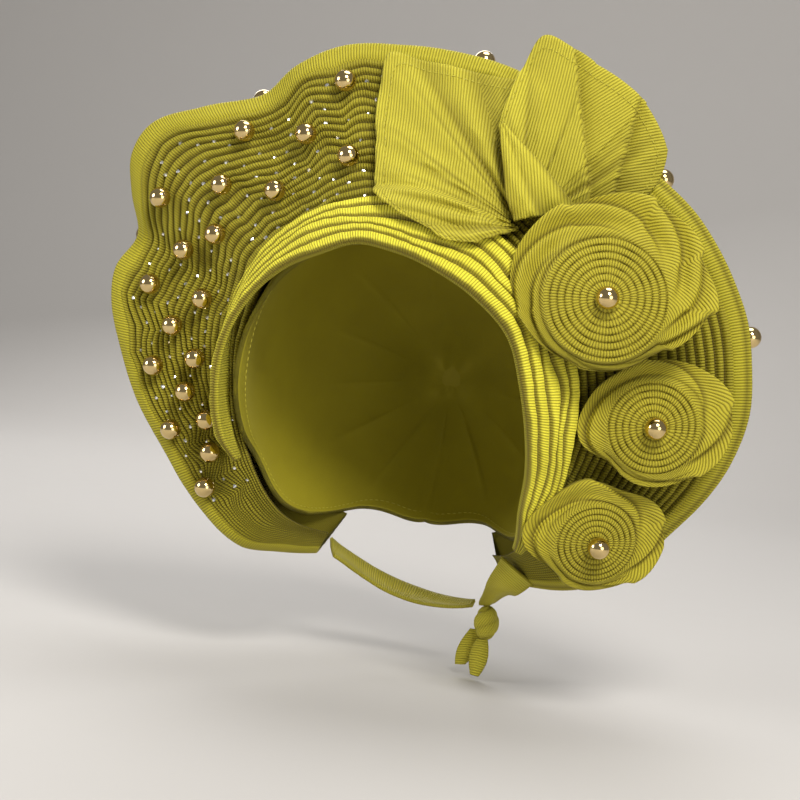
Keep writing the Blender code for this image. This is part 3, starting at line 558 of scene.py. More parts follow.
def mixed(tree, factor, first, second, blend="MIX"):
    """The output of a colour mix."""
    made = add_node(tree, "ShaderNodeMix", data_type="RGBA", blend_type=blend)
    for socket, value in ((made.inputs[0], factor), (made.inputs[6], first), (made.inputs[7], second)):
        if isinstance(value, (int, float, tuple)):
            socket.default_value = value
        else:
            tree.links.new(value, socket)
    return made.outputs[2]


def noise_at(tree, place, scale, detail=2.0):
    """The value of a noise at a place, which is an output too."""
    made = add_node(tree, "ShaderNodeTexNoise", noise_dimensions="3D")
    made.inputs["Scale"].default_value = scale
    made.inputs["Detail"].default_value = detail
    tree.links.new(place, made.inputs["Vector"])
    return made.outputs[0]


def noisy_material(name, scale, detail=2.0):
    """A new material. Returns it with its tree, its shader and a noise that lies on the object."""
    made = bpy.data.materials.new(name)
    made.use_nodes = True
    tree = made.node_tree
    place = add_node(tree, "ShaderNodeTexCoord")
    return made, tree, tree.nodes["Principled BSDF"], noise_at(tree, place.outputs["Object"], scale, detail)


def ribbed_cloth_group():
    """Shader group: ribs across the weave's first direction, threads along them, mottling, painted shade in
    folds.
    """
    name = "Ribbed cloth"
    if name in bpy.data.node_groups:
        return bpy.data.node_groups[name]
    tree = bpy.data.node_groups.new(name, "ShaderNodeTree")
    new = tree.interface.new_socket
    new(name="Weave", in_out="INPUT", socket_type="NodeSocketVector")
    new(name="Place", in_out="INPUT", socket_type="NodeSocketVector")
    new(name="Shade", in_out="INPUT", socket_type="NodeSocketFloat")
    sizes = {"Rib pitch": 0.0013, "Thread pitch": 0.00042, "Fold shade": 0.6, "Rib gap shade": 0.5}
    for label, value in sizes.items():
        new(name=label, in_out="INPUT", socket_type="NodeSocketFloat").default_value = value
    new(name="Light", in_out="INPUT", socket_type="NodeSocketColor")
    new(name="Dark", in_out="INPUT", socket_type="NodeSocketColor")
    new(name="Colour", in_out="OUTPUT", socket_type="NodeSocketColor")
    new(name="Roughness", in_out="OUTPUT", socket_type="NodeSocketFloat")
    new(name="Height", in_out="OUTPUT", socket_type="NodeSocketFloat")
    inside = add_node(tree, "NodeGroupInput")
    result = add_node(tree, "NodeGroupOutput")
    weave = add_node(tree, "ShaderNodeSeparateXYZ")
    tree.links.new(inside.outputs["Weave"], weave.inputs[0])
    place = inside.outputs["Place"]
    # a slow wobble keeps the ribs from being ruled lines
    wobble = noise_at(tree, place, 90.0)
    shift = maths(tree, "MULTIPLY", maths(tree, "SUBTRACT", wobble, 0.5), 0.0006)
    along = maths(tree, "ADD", weave.outputs[0], shift)
    turns = maths(tree, "DIVIDE", along, inside.outputs["Rib pitch"])
    wave = maths(tree, "ABSOLUTE", maths(tree, "SINE", maths(tree, "MULTIPLY", turns, pi)))
    rib = maths(tree, "POWER", wave, 0.75)
    threads = maths(tree, "DIVIDE", weave.outputs[1], inside.outputs["Thread pitch"])
    thread = maths(tree, "ABSOLUTE", maths(tree, "SINE", maths(tree, "MULTIPLY", threads, pi)))
    grain = noise_at(tree, place, 2600.0, 1.0)
    mottle = noise_at(tree, place, 38.0, 3.0)
    gap, depth = inside.outputs["Rib gap shade"], inside.outputs["Fold shade"]
    # Painted shade in the gaps between the ribs, and a little between the threads.
    lit = maths(tree, "MULTIPLY_ADD", rib, gap, maths(tree, "SUBTRACT", 1.0, gap))
    lit = maths(tree, "MULTIPLY", lit, maths(tree, "MULTIPLY_ADD", mottle, 0.30, 0.85))
    lit = maths(tree, "MULTIPLY", lit, maths(tree, "MULTIPLY_ADD", grain, 0.26, 0.87))
    lit = maths(tree, "MULTIPLY", lit, maths(tree, "MULTIPLY_ADD", thread, 0.10, 0.92))
    # Painted shade in the folds, from the shade attribute.
    fold = maths(tree, "POWER", maths(tree, "MAXIMUM", inside.outputs["Shade"], 0.0), 0.8)
    fold = maths(tree, "MULTIPLY_ADD", fold, depth, maths(tree, "SUBTRACT", 1.0, depth))
    lit = maths(tree, "MULTIPLY", lit, fold)
    share = maths(tree, "MINIMUM", maths(tree, "MAXIMUM", lit, 0.0), 1.0)
    colour = mixed(tree, share, inside.outputs["Dark"], inside.outputs["Light"])
    tree.links.new(colour, result.inputs["Colour"])
    rough = maths(tree, "MULTIPLY_ADD", grain, 0.22, 0.50)
    tree.links.new(rough, result.inputs["Roughness"])
    height = maths(tree, "MULTIPLY_ADD", thread, 0.14, rib)
    height = maths(tree, "MULTIPLY_ADD", grain, 0.20, height)
    tree.links.new(height, result.inputs["Height"])
    return tree


def cloth_material(name, light, pitch, fold_shade=0.6, rib_gap_shade=0.5, relief=0.00045):
    """Ribbed cloth in one colour, with painted shade between its ribs and in its folds. relief is how far the
    ribs stand up.
    """
    made = bpy.data.materials.get(name)
    if made:
        return made
    made = bpy.data.materials.new(name)
    made.use_nodes = True
    tree = made.node_tree
    shader = tree.nodes["Principled BSDF"]
    group = add_node(tree, "ShaderNodeGroup", node_tree=ribbed_cloth_group())
    weave = add_node(tree, "ShaderNodeUVMap", uv_map="Weave")
    shade = add_node(tree, "ShaderNodeAttribute", attribute_name="shade")
    place = add_node(tree, "ShaderNodeTexCoord")
    tree.links.new(weave.outputs[0], group.inputs["Weave"])
    tree.links.new(shade.outputs["Fac"], group.inputs["Shade"])
    tree.links.new(place.outputs["Object"], group.inputs["Place"])
    group.inputs["Rib pitch"].default_value = pitch
    group.inputs["Fold shade"].default_value = fold_shade
    group.inputs["Rib gap shade"].default_value = rib_gap_shade
    light = tuple(light)
    group.inputs["Light"].default_value = (*light, 1)
    # Dark is the painted shade colour of the gaps between the ribs and of the folds.
    group.inputs["Dark"].default_value = (light[0] * 0.09, light[1] * 0.055, light[2] * 0.10, 1)
    bump = add_node(tree, "ShaderNodeBump")
    bump.inputs["Strength"].default_value = 1.0
    bump.inputs["Distance"].default_value = relief
    tree.links.new(group.outputs["Height"], bump.inputs["Height"])
    tree.links.new(group.outputs["Colour"], shader.inputs["Base Color"])
    tree.links.new(group.outputs["Roughness"], shader.inputs["Roughness"])
    tree.links.new(bump.outputs["Normal"], shader.inputs["Normal"])
    shader.inputs["Specular IOR Level"].default_value = 0.22
    shader.inputs["Sheen Weight"].default_value = 0.04
    shader.inputs["Sheen Roughness"].default_value = 0.4
    shader.inputs["Sheen Tint"].default_value = (1.0, 0.95, 0.6, 1)
    return made


def metal_material(name, colour):
    """Gold-plated bead: mirror gloss with faint handling marks."""
    made, tree, shader, marks = noisy_material(name, 420.0, 3.0)
    tree.links.new(maths(tree, "MULTIPLY_ADD", marks, 0.12, 0.05), shader.inputs["Roughness"])
    colour = tuple(colour)
    worn = tuple(c * f for c, f in zip(colour, (0.82, 0.74, 0.60)))
    wear_and_painted_shade = mixed(tree, maths(tree, "MULTIPLY", marks, 0.5), (*colour, 1), (*worn, 1))
    tree.links.new(wear_and_painted_shade, shader.inputs["Base Color"])
    bump = add_node(tree, "ShaderNodeBump")
    bump.inputs["Strength"].default_value = 0.15
    bump.inputs["Distance"].default_value = 0.00005
    tree.links.new(marks, bump.inputs["Height"])
    tree.links.new(bump.outputs["Normal"], shader.inputs["Normal"])
    shader.inputs["Metallic"].default_value = 1.0
    return made


def stone_material(name):
    """Foil-backed clear stone: bright mirror facets with a cool and a warm tint."""
    made, tree, shader, tint = noisy_material(name, 160.0)
    tree.links.new(mixed(tree, tint, (0.80, 0.88, 1.0, 1), (1.0, 0.94, 0.82, 1)), shader.inputs["Base Color"])
    tree.links.new(maths(tree, "MULTIPLY_ADD", tint, 0.08, 0.02), shader.inputs["Roughness"])
    shader.inputs["Metallic"].default_value = 0.9
    shader.inputs["Coat Weight"].default_value = 0.6
    return made


def thread_material(name, colour):
    """Sewing thread, twisted and slightly glossy."""
    made, tree, shader, twist = noisy_material(name, 1500.0)
    colour = tuple(colour)
    dark = tuple(c * 0.6 for c in colour)
    tree.links.new(mixed(tree, twist, (*dark, 1), (*colour, 1)), shader.inputs["Base Color"])
    tree.links.new(maths(tree, "MULTIPLY_ADD", twist, 0.2, 0.4), shader.inputs["Roughness"])
    return made


def plain_material(name, colour, roughness):
    """The floor and backdrop: one pale colour with a trace of texture."""
    made, tree, shader, grain = noisy_material(name, 60.0)
    shader.inputs["Base Color"].default_value = (*colour, 1)
    tree.links.new(maths(tree, "MULTIPLY_ADD", grain, 0.1, roughness), shader.inputs["Roughness"])
    return made


# Geometry Nodes


def modelling_tree(name, sizes):
    """A Geometry Nodes tree with a mesh input, a material input and named sizes. Returns it with its ends."""
    tree = bpy.data.node_groups.new(name, "GeometryNodeTree")
    new = tree.interface.new_socket
    new(name="Geometry", in_out="INPUT", socket_type="NodeSocketGeometry")
    for label, value in sizes.items():
        kind = "NodeSocketInt" if isinstance(value, int) else "NodeSocketFloat"
        new(name=label, in_out="INPUT", socket_type=kind).default_value = value
    new(name="Material", in_out="INPUT", socket_type="NodeSocketMaterial")
    new(name="Geometry", in_out="OUTPUT", socket_type="NodeSocketGeometry")
    return tree, add_node(tree, "NodeGroupInput"), add_node(tree, "NodeGroupOutput")


def end_tree(tree, inside, result, instances, smooth):
    """Ends a tree in Realize Instances, Set Shade Smooth and Set Material."""
    realize = add_node(tree, "GeometryNodeRealizeInstances")
    shading = add_node(tree, "GeometryNodeSetShadeSmooth")
    shading.inputs["Shade Smooth"].default_value = smooth
    finish = add_node(tree, "GeometryNodeSetMaterial")
    link = tree.links.new
    link(instances, realize.inputs["Geometry"])
    link(realize.outputs[0], shading.inputs["Geometry"])
    link(shading.outputs[0], finish.inputs["Geometry"])
    link(inside.outputs["Material"], finish.inputs["Material"])
    link(finish.outputs[0], result.inputs["Geometry"])


def run_tree(name, source, tree, values):
    """Runs a tree over a mesh of places and returns the result as a plain mesh object."""
    holder = bpy.data.objects.new(name + "_places", source)
    bpy.context.scene.collection.objects.link(holder)
    modifier = holder.modifiers.new("Nodes", "NODES")
    modifier.node_group = tree
    sockets = {item.name: item.identifier for item in tree.interface.items_tree if item.in_out == "INPUT"}
    for label, value in values.items():
        modifier[sockets[label]] = value
    bpy.context.view_layer.update()
    graph = bpy.context.evaluated_depsgraph_get()
    mesh = bpy.data.meshes.new_from_object(holder.evaluated_get(graph), depsgraph=graph)
    bpy.data.objects.remove(holder)
    mesh.name = name
    made = bpy.data.objects.new(name, mesh)
    bpy.context.scene.collection.objects.link(made)
    return made


def places_mesh(name, points, edges=(), **vectors):
    """A mesh of loose points, with a named vector or number on each."""
    mesh = bpy.data.meshes.new(name)
    mesh.from_pydata([tuple(p) for p in points], edges, [])
    for label, values in vectors.items():
        if hasattr(values[0], "__len__"):
            layer = mesh.attributes.new(label, "FLOAT_VECTOR", "POINT")
            layer.data.foreach_set("vector", np.asarray(values, float).ravel())
        else:
            layer = mesh.attributes.new(label, "FLOAT", "POINT")
            layer.data.foreach_set("value", np.asarray(values, float))
    return mesh


def faced_instances(tree, inside, shape):
    """A node that sets a shape on each point, with its Z along the point's facing."""
    onto = add_node(tree, "GeometryNodeInstanceOnPoints")
    facing = add_node(tree, "GeometryNodeInputNamedAttribute", data_type="FLOAT_VECTOR")
    facing.inputs["Name"].default_value = "facing"
    turn = add_node(tree, "FunctionNodeAlignRotationToVector", axis="Z")
    link = tree.links.new
    link(facing.outputs["Attribute"], turn.inputs["Vector"])
    link(turn.outputs[0], onto.inputs["Rotation"])
    link(inside.outputs["Geometry"], onto.inputs["Points"])
    link(shape, onto.inputs["Instance"])
    return onto


def bead_tree():
    """Round beads on points."""
    tree, inside, result = modelling_tree("Beads on points", {"Diameter": 0.01, "Sides": 32})
    ball = add_node(tree, "GeometryNodeMeshUVSphere")
    link = tree.links.new
    link(maths(tree, "MULTIPLY", inside.outputs["Diameter"], 0.5), ball.inputs["Radius"])
    link(inside.outputs["Sides"], ball.inputs["Segments"])
    link(maths(tree, "MULTIPLY", inside.outputs["Sides"], 0.5), ball.inputs["Rings"])
    onto = faced_instances(tree, inside, ball.outputs["Mesh"])
    end_tree(tree, inside, result, onto.outputs[0], True)
    return tree


def stone_tree():
    """Faceted stones on points, turned at random about the way they face."""
    tree, inside, result = modelling_tree("Stones on points", {"Diameter": 0.002, "Facets": 12, "Seed": 4})
    crown = add_node(tree, "GeometryNodeMeshCone")
    crown.inputs["Radius Top"].default_value = 0.22
    crown.inputs["Radius Bottom"].default_value = 0.5
    crown.inputs["Depth"].default_value = 0.42
    size = add_node(tree, "GeometryNodeInputNamedAttribute", data_type="FLOAT")
    size.inputs["Name"].default_value = "size"
    spin = add_node(tree, "FunctionNodeRandomValue", data_type="FLOAT")
    spin.inputs[3].default_value = 6.283
    spun = add_node(tree, "GeometryNodeRotateInstances")
    angle = add_node(tree, "ShaderNodeCombineXYZ")
    onto = faced_instances(tree, inside, crown.outputs["Mesh"])
    link = tree.links.new
    link(inside.outputs["Facets"], crown.inputs["Vertices"])
    link(inside.outputs["Seed"], spin.inputs["Seed"])
    link(maths(tree, "MULTIPLY", inside.outputs["Diameter"], size.outputs["Attribute"]), onto.inputs["Scale"])
    link(onto.outputs[0], spun.inputs["Instances"])
    link(spin.outputs[1], angle.inputs["Z"])
    link(angle.outputs[0], spun.inputs["Rotation"])
    end_tree(tree, inside, result, spun.outputs[0], False)
    return tree


def stitch_tree():
    """Stitches of one length and pitch along lines of edges."""
    sizes = {"Pitch": 0.003, "Length": 0.0021, "Thickness": 0.0005}
    tree, inside, result = modelling_tree("Stitches along lines", sizes)
    lines = add_node(tree, "GeometryNodeMeshToCurve")
    spaced = add_node(tree, "GeometryNodeResampleCurve", mode="LENGTH")
    stitch = add_node(tree, "GeometryNodeMeshUVSphere")
    stitch.inputs["Segments"].default_value = 6
    stitch.inputs["Rings"].default_value = 4
    stitch.inputs["Radius"].default_value = 0.5
    onto = add_node(tree, "GeometryNodeInstanceOnPoints")
    tangent = add_node(tree, "GeometryNodeInputTangent")
    turn = add_node(tree, "FunctionNodeAlignRotationToVector", axis="X")
    size = add_node(tree, "ShaderNodeCombineXYZ")
    link = tree.links.new
    link(inside.outputs["Geometry"], lines.inputs[0])
    link(lines.outputs[0], spaced.inputs["Curve"])
    link(inside.outputs["Pitch"], spaced.inputs["Length"])
    link(spaced.outputs[0], onto.inputs["Points"])
    link(stitch.outputs["Mesh"], onto.inputs["Instance"])
    link(tangent.outputs[0], turn.inputs["Vector"])
    link(turn.outputs[0], onto.inputs["Rotation"])
    link(inside.outputs["Length"], size.inputs["X"])
    link(inside.outputs["Thickness"], size.inputs["Y"])
    link(inside.outputs["Thickness"], size.inputs["Z"])
    link(size.outputs[0], onto.inputs["Scale"])
    end_tree(tree, inside, result, onto.outputs[0], True)
    return tree


# Pieces


def near_beads(angle, out, length):
    """(pull along the wall in metres, dent from 0 to 1) that the sewn beads give the halo's front."""
    pull, dent = 0.0, 0.0
    for bead in FRONT_BEADS:
        turn = bead["angle"] - angle
        if abs(turn) > BEAD_SPREAD:
            continue
        across = radians(turn) * MEAN_FRONT_RADIUS
        along = (bead["out"] - out) * length
        near = exp(-(across**2 + along**2) / BEAD_REACH**2)
        pull += BEAD_PULL * along * near
        dent += near
    return pull, min(dent, 1.0)


def front_point(angle, out, height, lines=None):
    """(distance from axis, y) of the crumpled front of the halo at a place and a height above its base."""
    root, rim, _, _, _ = lines or halo_lines(angle)
    length, along, normal = wall_frame(root, rim)
    inside = sin(pi * max(0.0, min(1.0, out))) ** 0.5
    crumple = 1.0 - 0.72 * ease(15, 45, angle)
    shift = PLEAT_SWAY * wander(angle / 9, out * 3.2) + PLEAT_CRUMPLE * wander(angle / 3.4, out * 6, 4)
    pull, dent = near_beads(angle, out, length)
    zigzag = abs((angle / KINK_SPACING + 0.25 * wander(out * 2.0, 3.0)) % 1.0 - 0.5) * 4 - 1
    patch = ease(0.0, 0.35, wander(angle / 22, out * 1.4, 12)) * ease(30, 5, angle)
    calm = 0.30 + 0.70 * ease(0.10, 0.50, out)
    slide = ((shift * crumple + KINK_HEIGHT * zigzag * patch) * calm + pull) * inside
    lift = 0.0006 * wander(angle / 11, out * 2.5, 9) * inside - 0.0006 * dent
    base = root + (rim - root) * out - normal * HALO_DISH * sin(pi * out)
    return base + along * slide + normal * (height + lift)


def pleated_halo():
    """The halo in fine pleats that lie on one another, with a smooth rolled rim and a folded back."""
    sizes, colours = settings()
    per_pleat, back_per_pleat, roll_steps = 7, 6, 12
    first, last = RIM[0]["angle"], RIM[-1]["angle"]
    stations = 380
    sections, painted_shades, pleat_middles = [], [], []
    for s in range(stations + 1):
        angle = first + (last - first) * s / stations
        lines = halo_lines(angle)
        root, front_rim, centre, back_rim, back_root = lines
        length, _, _ = wall_frame(root, front_rim)
        back_length, _, back_in = wall_frame(back_root, back_rim)
        pitch = length / FRONT_PLEATS
        points, wear_and_painted_shade = [], []
        for k in range(FRONT_PLEATS * per_pleat + 1):
            pleat, t = divmod(k, per_pleat)
            t /= per_pleat
            out = (pleat + t) / FRONT_PLEATS
            plain = ease(0.930, 0.955, out)
            roll = loaf(t, 2.2)
            uneven = 1 + 0.45 * wander(angle / 6, pleat * 1.7, 2) + 0.25 * wander(angle / 2.2, pleat * 2.3, 5)
            high = min(sizes.pleat_depth, 0.85 * pitch) * roll * uneven
            low = -min(0.0009, 0.25 * pitch)
            height = (low + high) * (1 - plain) + min(0.0012, 0.5 * pitch) * plain * ease(1.03, 0.97, out)
            lean = 0.10 * roll / FRONT_PLEATS * (1 - plain)
            points.append(front_point(angle, min(1.0, out + lean), height, lines))
            # Painted light and shade: dark in the valleys between the pleats, lighter on taller pleats, and
            # every crest below the plain rim, which is painted as lit.
            wear_and_painted_shade.append(0.68 * roll**1.8 * (0.75 + 0.25 * uneven) * (1 - plain) + plain)
        swell = 1.02 + 0.05 * wander(angle / 7, 3)
        for k in range(1, roll_steps):
            a = radians(90 - 180 * k / roll_steps)
            groove = ease(15, 40, angle) * (0.5 - 0.5 * cos(6 * pi * k / roll_steps))
            points.append(centre + Vector((cos(a), -sin(a))) * RIM_ROLL * (swell - 0.14 * groove))
            # Painted shade in the grooves of the rolled rim.
            wear_and_painted_shade.append(1.0 - 0.6 * groove)
        back_height = min(BACK_PLEAT_HEIGHT, 0.4 * back_length / BACK_PLEATS)
        for k in range(BACK_PLEATS * back_per_pleat + 1):
            pleat, t = divmod(k, back_per_pleat)
            t /= back_per_pleat
            place = (pleat + t) / BACK_PLEATS
            soft = loaf(t, 2.2) * (1 + 0.3 * wander(angle / 8, pleat * 1.9, 6))
            base = back_rim + (back_root - back_rim) * place
            points.append(base - back_in * back_height * soft)
            # Painted shade in the valleys of the back pleats.
            wear_and_painted_shade.append(0.12 + 0.55 * loaf(t, 2.2))
        for t in (0, 0.25, 0.5, 0.75, 0.97):
            points.append(back_root.lerp(back_rim, t) + back_in * HALO_WALL)
            wear_and_painted_shade.append(0.5)
        for out in (0.97, 0.82, 0.66, 0.5, 0.33, 0.16, 0):
            base, normal = front_wall(angle, out)
            points.append(base - normal * HALO_WALL)
            wear_and_painted_shade.append(0.5)
        sections.append([in_space(angle, p) for p in points])
        painted_shades.append(wear_and_painted_shade)
        pleat_middles.append([sections[-1][p * per_pleat + per_pleat // 2] for p in range(FRONT_PLEATS)])
    points = np.asarray(sections, float)
    middles = np.asarray(pleat_middles, float)
    runs = lengths_along(middles, 0)
    columns = points.shape[1]
    across = lengths_along(points, 1).mean(0)
    across = np.append(across, across[-1] + 0.001)
    rim_run = runs[:, -1]
    pleat_of = [min(c // per_pleat, FRONT_PLEATS - 1) for c in range(FRONT_PLEATS * per_pleat)]
    u = np.empty((len(points), columns))
    u[:, : len(pleat_of)] = runs[:, pleat_of] - runs[len(points) // 2][pleat_of]
    u[:, len(pleat_of) :] = (rim_run - rim_run[len(points) // 2])[:, None]
    left, right = side_uvs(u, across)
    made = tube("pleated_halo_cloth", points, left, right, painted_shades)
    finish = cloth_material("halo cloth", colours.halo, sizes.rib_pitch, fold_shade=0.95, rib_gap_shade=0.50)
    dress(made, finish, "pleated_halo")
    return made


def crown_cap():
    """The cap: plain over the crown under the halo, gathered at the back, hemmed round face and neck."""
    sizes, colours = settings()
    per_gather, rings = 22, 46
    columns = GATHERS * per_gather
    outside, inside, painted_shades = [], [], []
    for s in range(columns):
        angle = -180 + 360 * s / columns
        groove = loaf((s % per_gather) / per_gather, 2.0)
        edge = value_at(CAP_EDGE, "forward", angle)
        top_line, under_line, wear_and_painted_shade = [], [], []
        for ring in range(rings):
            share = 0.03 + 0.97 * (ring / (rings - 1)) ** 0.9
            forward = -90 + (edge + 90) * share
            clear = value_at(HALO_ROOT, "back", angle) - 8 - forward
            strength = max(0.0, min(1.0, clear / 15)) * ease(0.12, 0.40, share)
            gather = GATHER_DEPTH * (1 - groove) * strength * (1 + 0.35 * wander(angle / 20, share * 5))
            last = max(0.0, (share - 0.94) / 0.06)
            flare = value_at(CAP_EDGE, "flare", angle) * BROW_STAND * last
            hem = 0.0004 * ease(0.955, 0.965, share)
            top_line.append(in_space(angle, over_head(angle, forward, CAP_WALL + flare - gather + hem)))
            under_line.append(in_space(angle, over_head(angle, forward, flare - gather)))
            # Painted shade in the valleys of the gathers.
            wear_and_painted_shade.append(0.7 - 0.6 * (1 - groove) * strength)
        outside.append(top_line)
        inside.append(under_line)
        painted_shades.append(wear_and_painted_shade + [0.5] * rings)
    points = np.concatenate([np.asarray(outside, float), np.asarray(inside, float)[:, ::-1]], 1)
    faces, r, c = grid_faces(columns, 2 * rings, wrap_rows=True)
    ring_run = lengths_along(points, 1).mean(0)
    turn = np.arange(columns + 1) / columns * 2 * pi * 0.085
    ring_run = np.append(ring_run, ring_run[-1] + 0.002) + 0.005
    ring_run[rings:] = sizes.rib_pitch / 2
    uv = np.stack(np.broadcast_arrays(ring_run[None, :], turn[:, None]), -1)
    uvs = point_uvs(uv, r, c)
    flat = points.reshape(-1, 3)
    poles = np.array([[0, LENGTH_R + CAP_WALL, -HEIGHT_R], [0, LENGTH_R, -HEIGHT_R]])
    ring = np.arange(columns) * 2 * rings
    triangles = end_faces(len(flat), ring, ring + 2 * rings - 1, False)
    pole_uvs = np.zeros((2 * columns, 3, 2))
    pole_uvs[:columns, 1:, 0] = ring_run[0]
    pole_uvs[columns:, :, 0] = sizes.rib_pitch / 2
    wear_and_painted_shade = np.concatenate([np.asarray(painted_shades, float).ravel(), [0.7, 0.5]])
    made = shell("crown_cap_cloth", np.concatenate([flat, poles]), faces, uvs, triangles, pole_uvs, wear_and_painted_shade)
    finish = cloth_material("cap cloth", colours.halo, sizes.rib_pitch, fold_shade=0.70, rib_gap_shade=0.5)
    dress(made, finish, "crown_cap")
    return made


def brow_wrap():
    """Five soft rolls of cloth round the face, narrow over the forehead's right and broad at its left."""
    sizes, colours = settings()
    stations, per_fold = 240, 14
    first, last = BROW[0]["angle"], BROW[-1]["angle"]
    count = per_fold * BROW_FOLDS
    sections, painted_shades, middles = [], [], []
    for s in range(stations + 1):
        angle = first + (last - first) * s / stations
        edge, root = value_at(BROW, "edge", angle), value_at(BROW, "root", angle)
        edge_stand = value_at(BROW, "edge_stand", angle) * BROW_STAND
        root_stand = value_at(BROW, "root_stand", angle) * BROW_STAND
        base = CAP_OUTSIDE + BROW_WALL
        width = radians(edge - root) * LENGTH_R / BROW_FOLDS
        outer, inner, wear_and_painted_shade = [], [], []
        for k in range(count + 1):
            fold, j = divmod(k, per_fold)
            t = j / per_fold
            drift = 0.70 * (1 + 0.3 * ease(55, 85, angle)) * sin(pi * k / count)
            drift *= wander(angle / 20, 3.2 * k / count)
            place = min(1.0, max(0.0, (k + drift * per_fold) / count))
            roll = loaf(t**0.75, 2.5) * (1 + 0.30 * wander(angle / 10, fold * 2.1, 3))
            height = min(sizes.brow_fold_height, 0.55 * width) * roll
            crease = 0.0006 * wander(angle / 3, fold + t * 1.5, 8) * roll
            forward = edge + (root - edge) * place
            stand = base + edge_stand + (root_stand - edge_stand) * place
            outer.append(over_head(angle, forward, stand + height + crease - 0.0003))
            # Painted shade in the creases between the rolls.
            wear_and_painted_shade.append(0.04 + 0.96 * ease(0.0, 0.26, t) * ease(1.0, 0.86, t))
            if k % 7 == 0:
                inner.append(over_head(angle, forward, stand - BROW_WALL))
        line = outer + inner[::-1]
        sections.append([in_space(angle, p) for p in line])
        painted_shades.append(wear_and_painted_shade + [0.6] * len(inner))
        middles.append([sections[-1][f * per_fold + per_fold // 2] for f in range(BROW_FOLDS)])
    points = np.asarray(sections, float)
    runs = lengths_along(np.asarray(middles, float), 0)
    runs = runs - runs[stations // 2]
    columns = points.shape[1]
    fold_of = [min(c // per_fold, BROW_FOLDS - 1) for c in range(columns)]
    u = runs[:, fold_of]
    across = lengths_along(points, 1).mean(0)
    across = np.append(across, across[-1] + 0.002)
    left, right = side_uvs(u, across)
    made = tube("brow_wrap_cloth", points, left, right, painted_shades)
    finish = cloth_material("brow cloth", colours.brow, sizes.rib_pitch, fold_shade=0.92, rib_gap_shade=0.42)
    dress(made, finish, "brow_wrap")
    return made


def front_of(trees, x, z):
    """How far forward the halo and the pieces before it reach around a place of the front view."""
    angle = degrees(atan2(x, z + HEIGHT_R))
    root, rim, _, _, _ = halo_lines(angle)
    out = max(0.0, min(1.0, (hypot(x, z + HEIGHT_R) - root[0]) / (rim[0] - root[0])))
    base, normal = front_wall(angle, out)
    nearest = (base + normal * PLEAT_HEIGHT)[1]
    for dx, dz in ((0, 0), (DRAPE_STEP, 0), (-DRAPE_STEP, 0), (0, DRAPE_STEP), (0, -DRAPE_STEP)):
        for tree in trees:
            hit = tree.ray_cast(Vector((x + dx, -0.3, z + dz)), Vector((0, 1, 0)))
            if hit[0] is not None:
                nearest = min(nearest, hit[0].y)
    return nearest


def smoothed(grid, rounds):
    """A grid of numbers with its small steps evened out."""
    grid = np.asarray(grid, float)
    for _ in range(rounds):
        padded = np.pad(grid, 1, mode="edge")
        total = padded[1:-1, 1:-1] * 4 + padded[:-2, 1:-1] + padded[2:, 1:-1]
        grid = (total + padded[1:-1, :-2] + padded[1:-1, 2:]) / 8
    return grid


def grain_uvs(x, z, bearings):
    """UVs at the corners of a grid's faces, seen from the front, with ribs along each face's bearing."""
    a = np.radians(bearings)
    low, high = slice(None, -1), slice(1, None)
    corners = []
    for rows, columns in ((low, low), (low, high), (high, high), (high, low)):
        px, pz = x[rows, columns], z[rows, columns]
        corners.append(np.stack([px * np.sin(a) - pz * np.cos(a), px * np.cos(a) + pz * np.sin(a)], -1))
    return np.stack(corners, 2).reshape(-1, 4, 2)


def right_of(fold, x, z):
    """How far a place of the bow lies to the right of a fold's line, both from the bow's heart."""
    run = Vector((fold["foot_x"] - fold["top_x"], fold["foot_z"] - fold["top_z"])) * BOW_SPAN
    away = Vector((x, z)) - Vector((fold["top_x"], fold["top_z"])) * BOW_SPAN
    return (run.x * away.y - run.y * away.x) / run.length


def settle(points, node):
    """Moves a draped grid along Y so that its mean depth is that of the solid that it replaces."""
    solid = cad_points(node)
    shift = (solid[:, 1].min() + np.quantile(solid[:, 1], 0.5)) / 2
    own = (points[..., 1].min() + np.quantile(points[..., 1], 0.5)) / 2
    points[..., 1] += shift - own
    return points


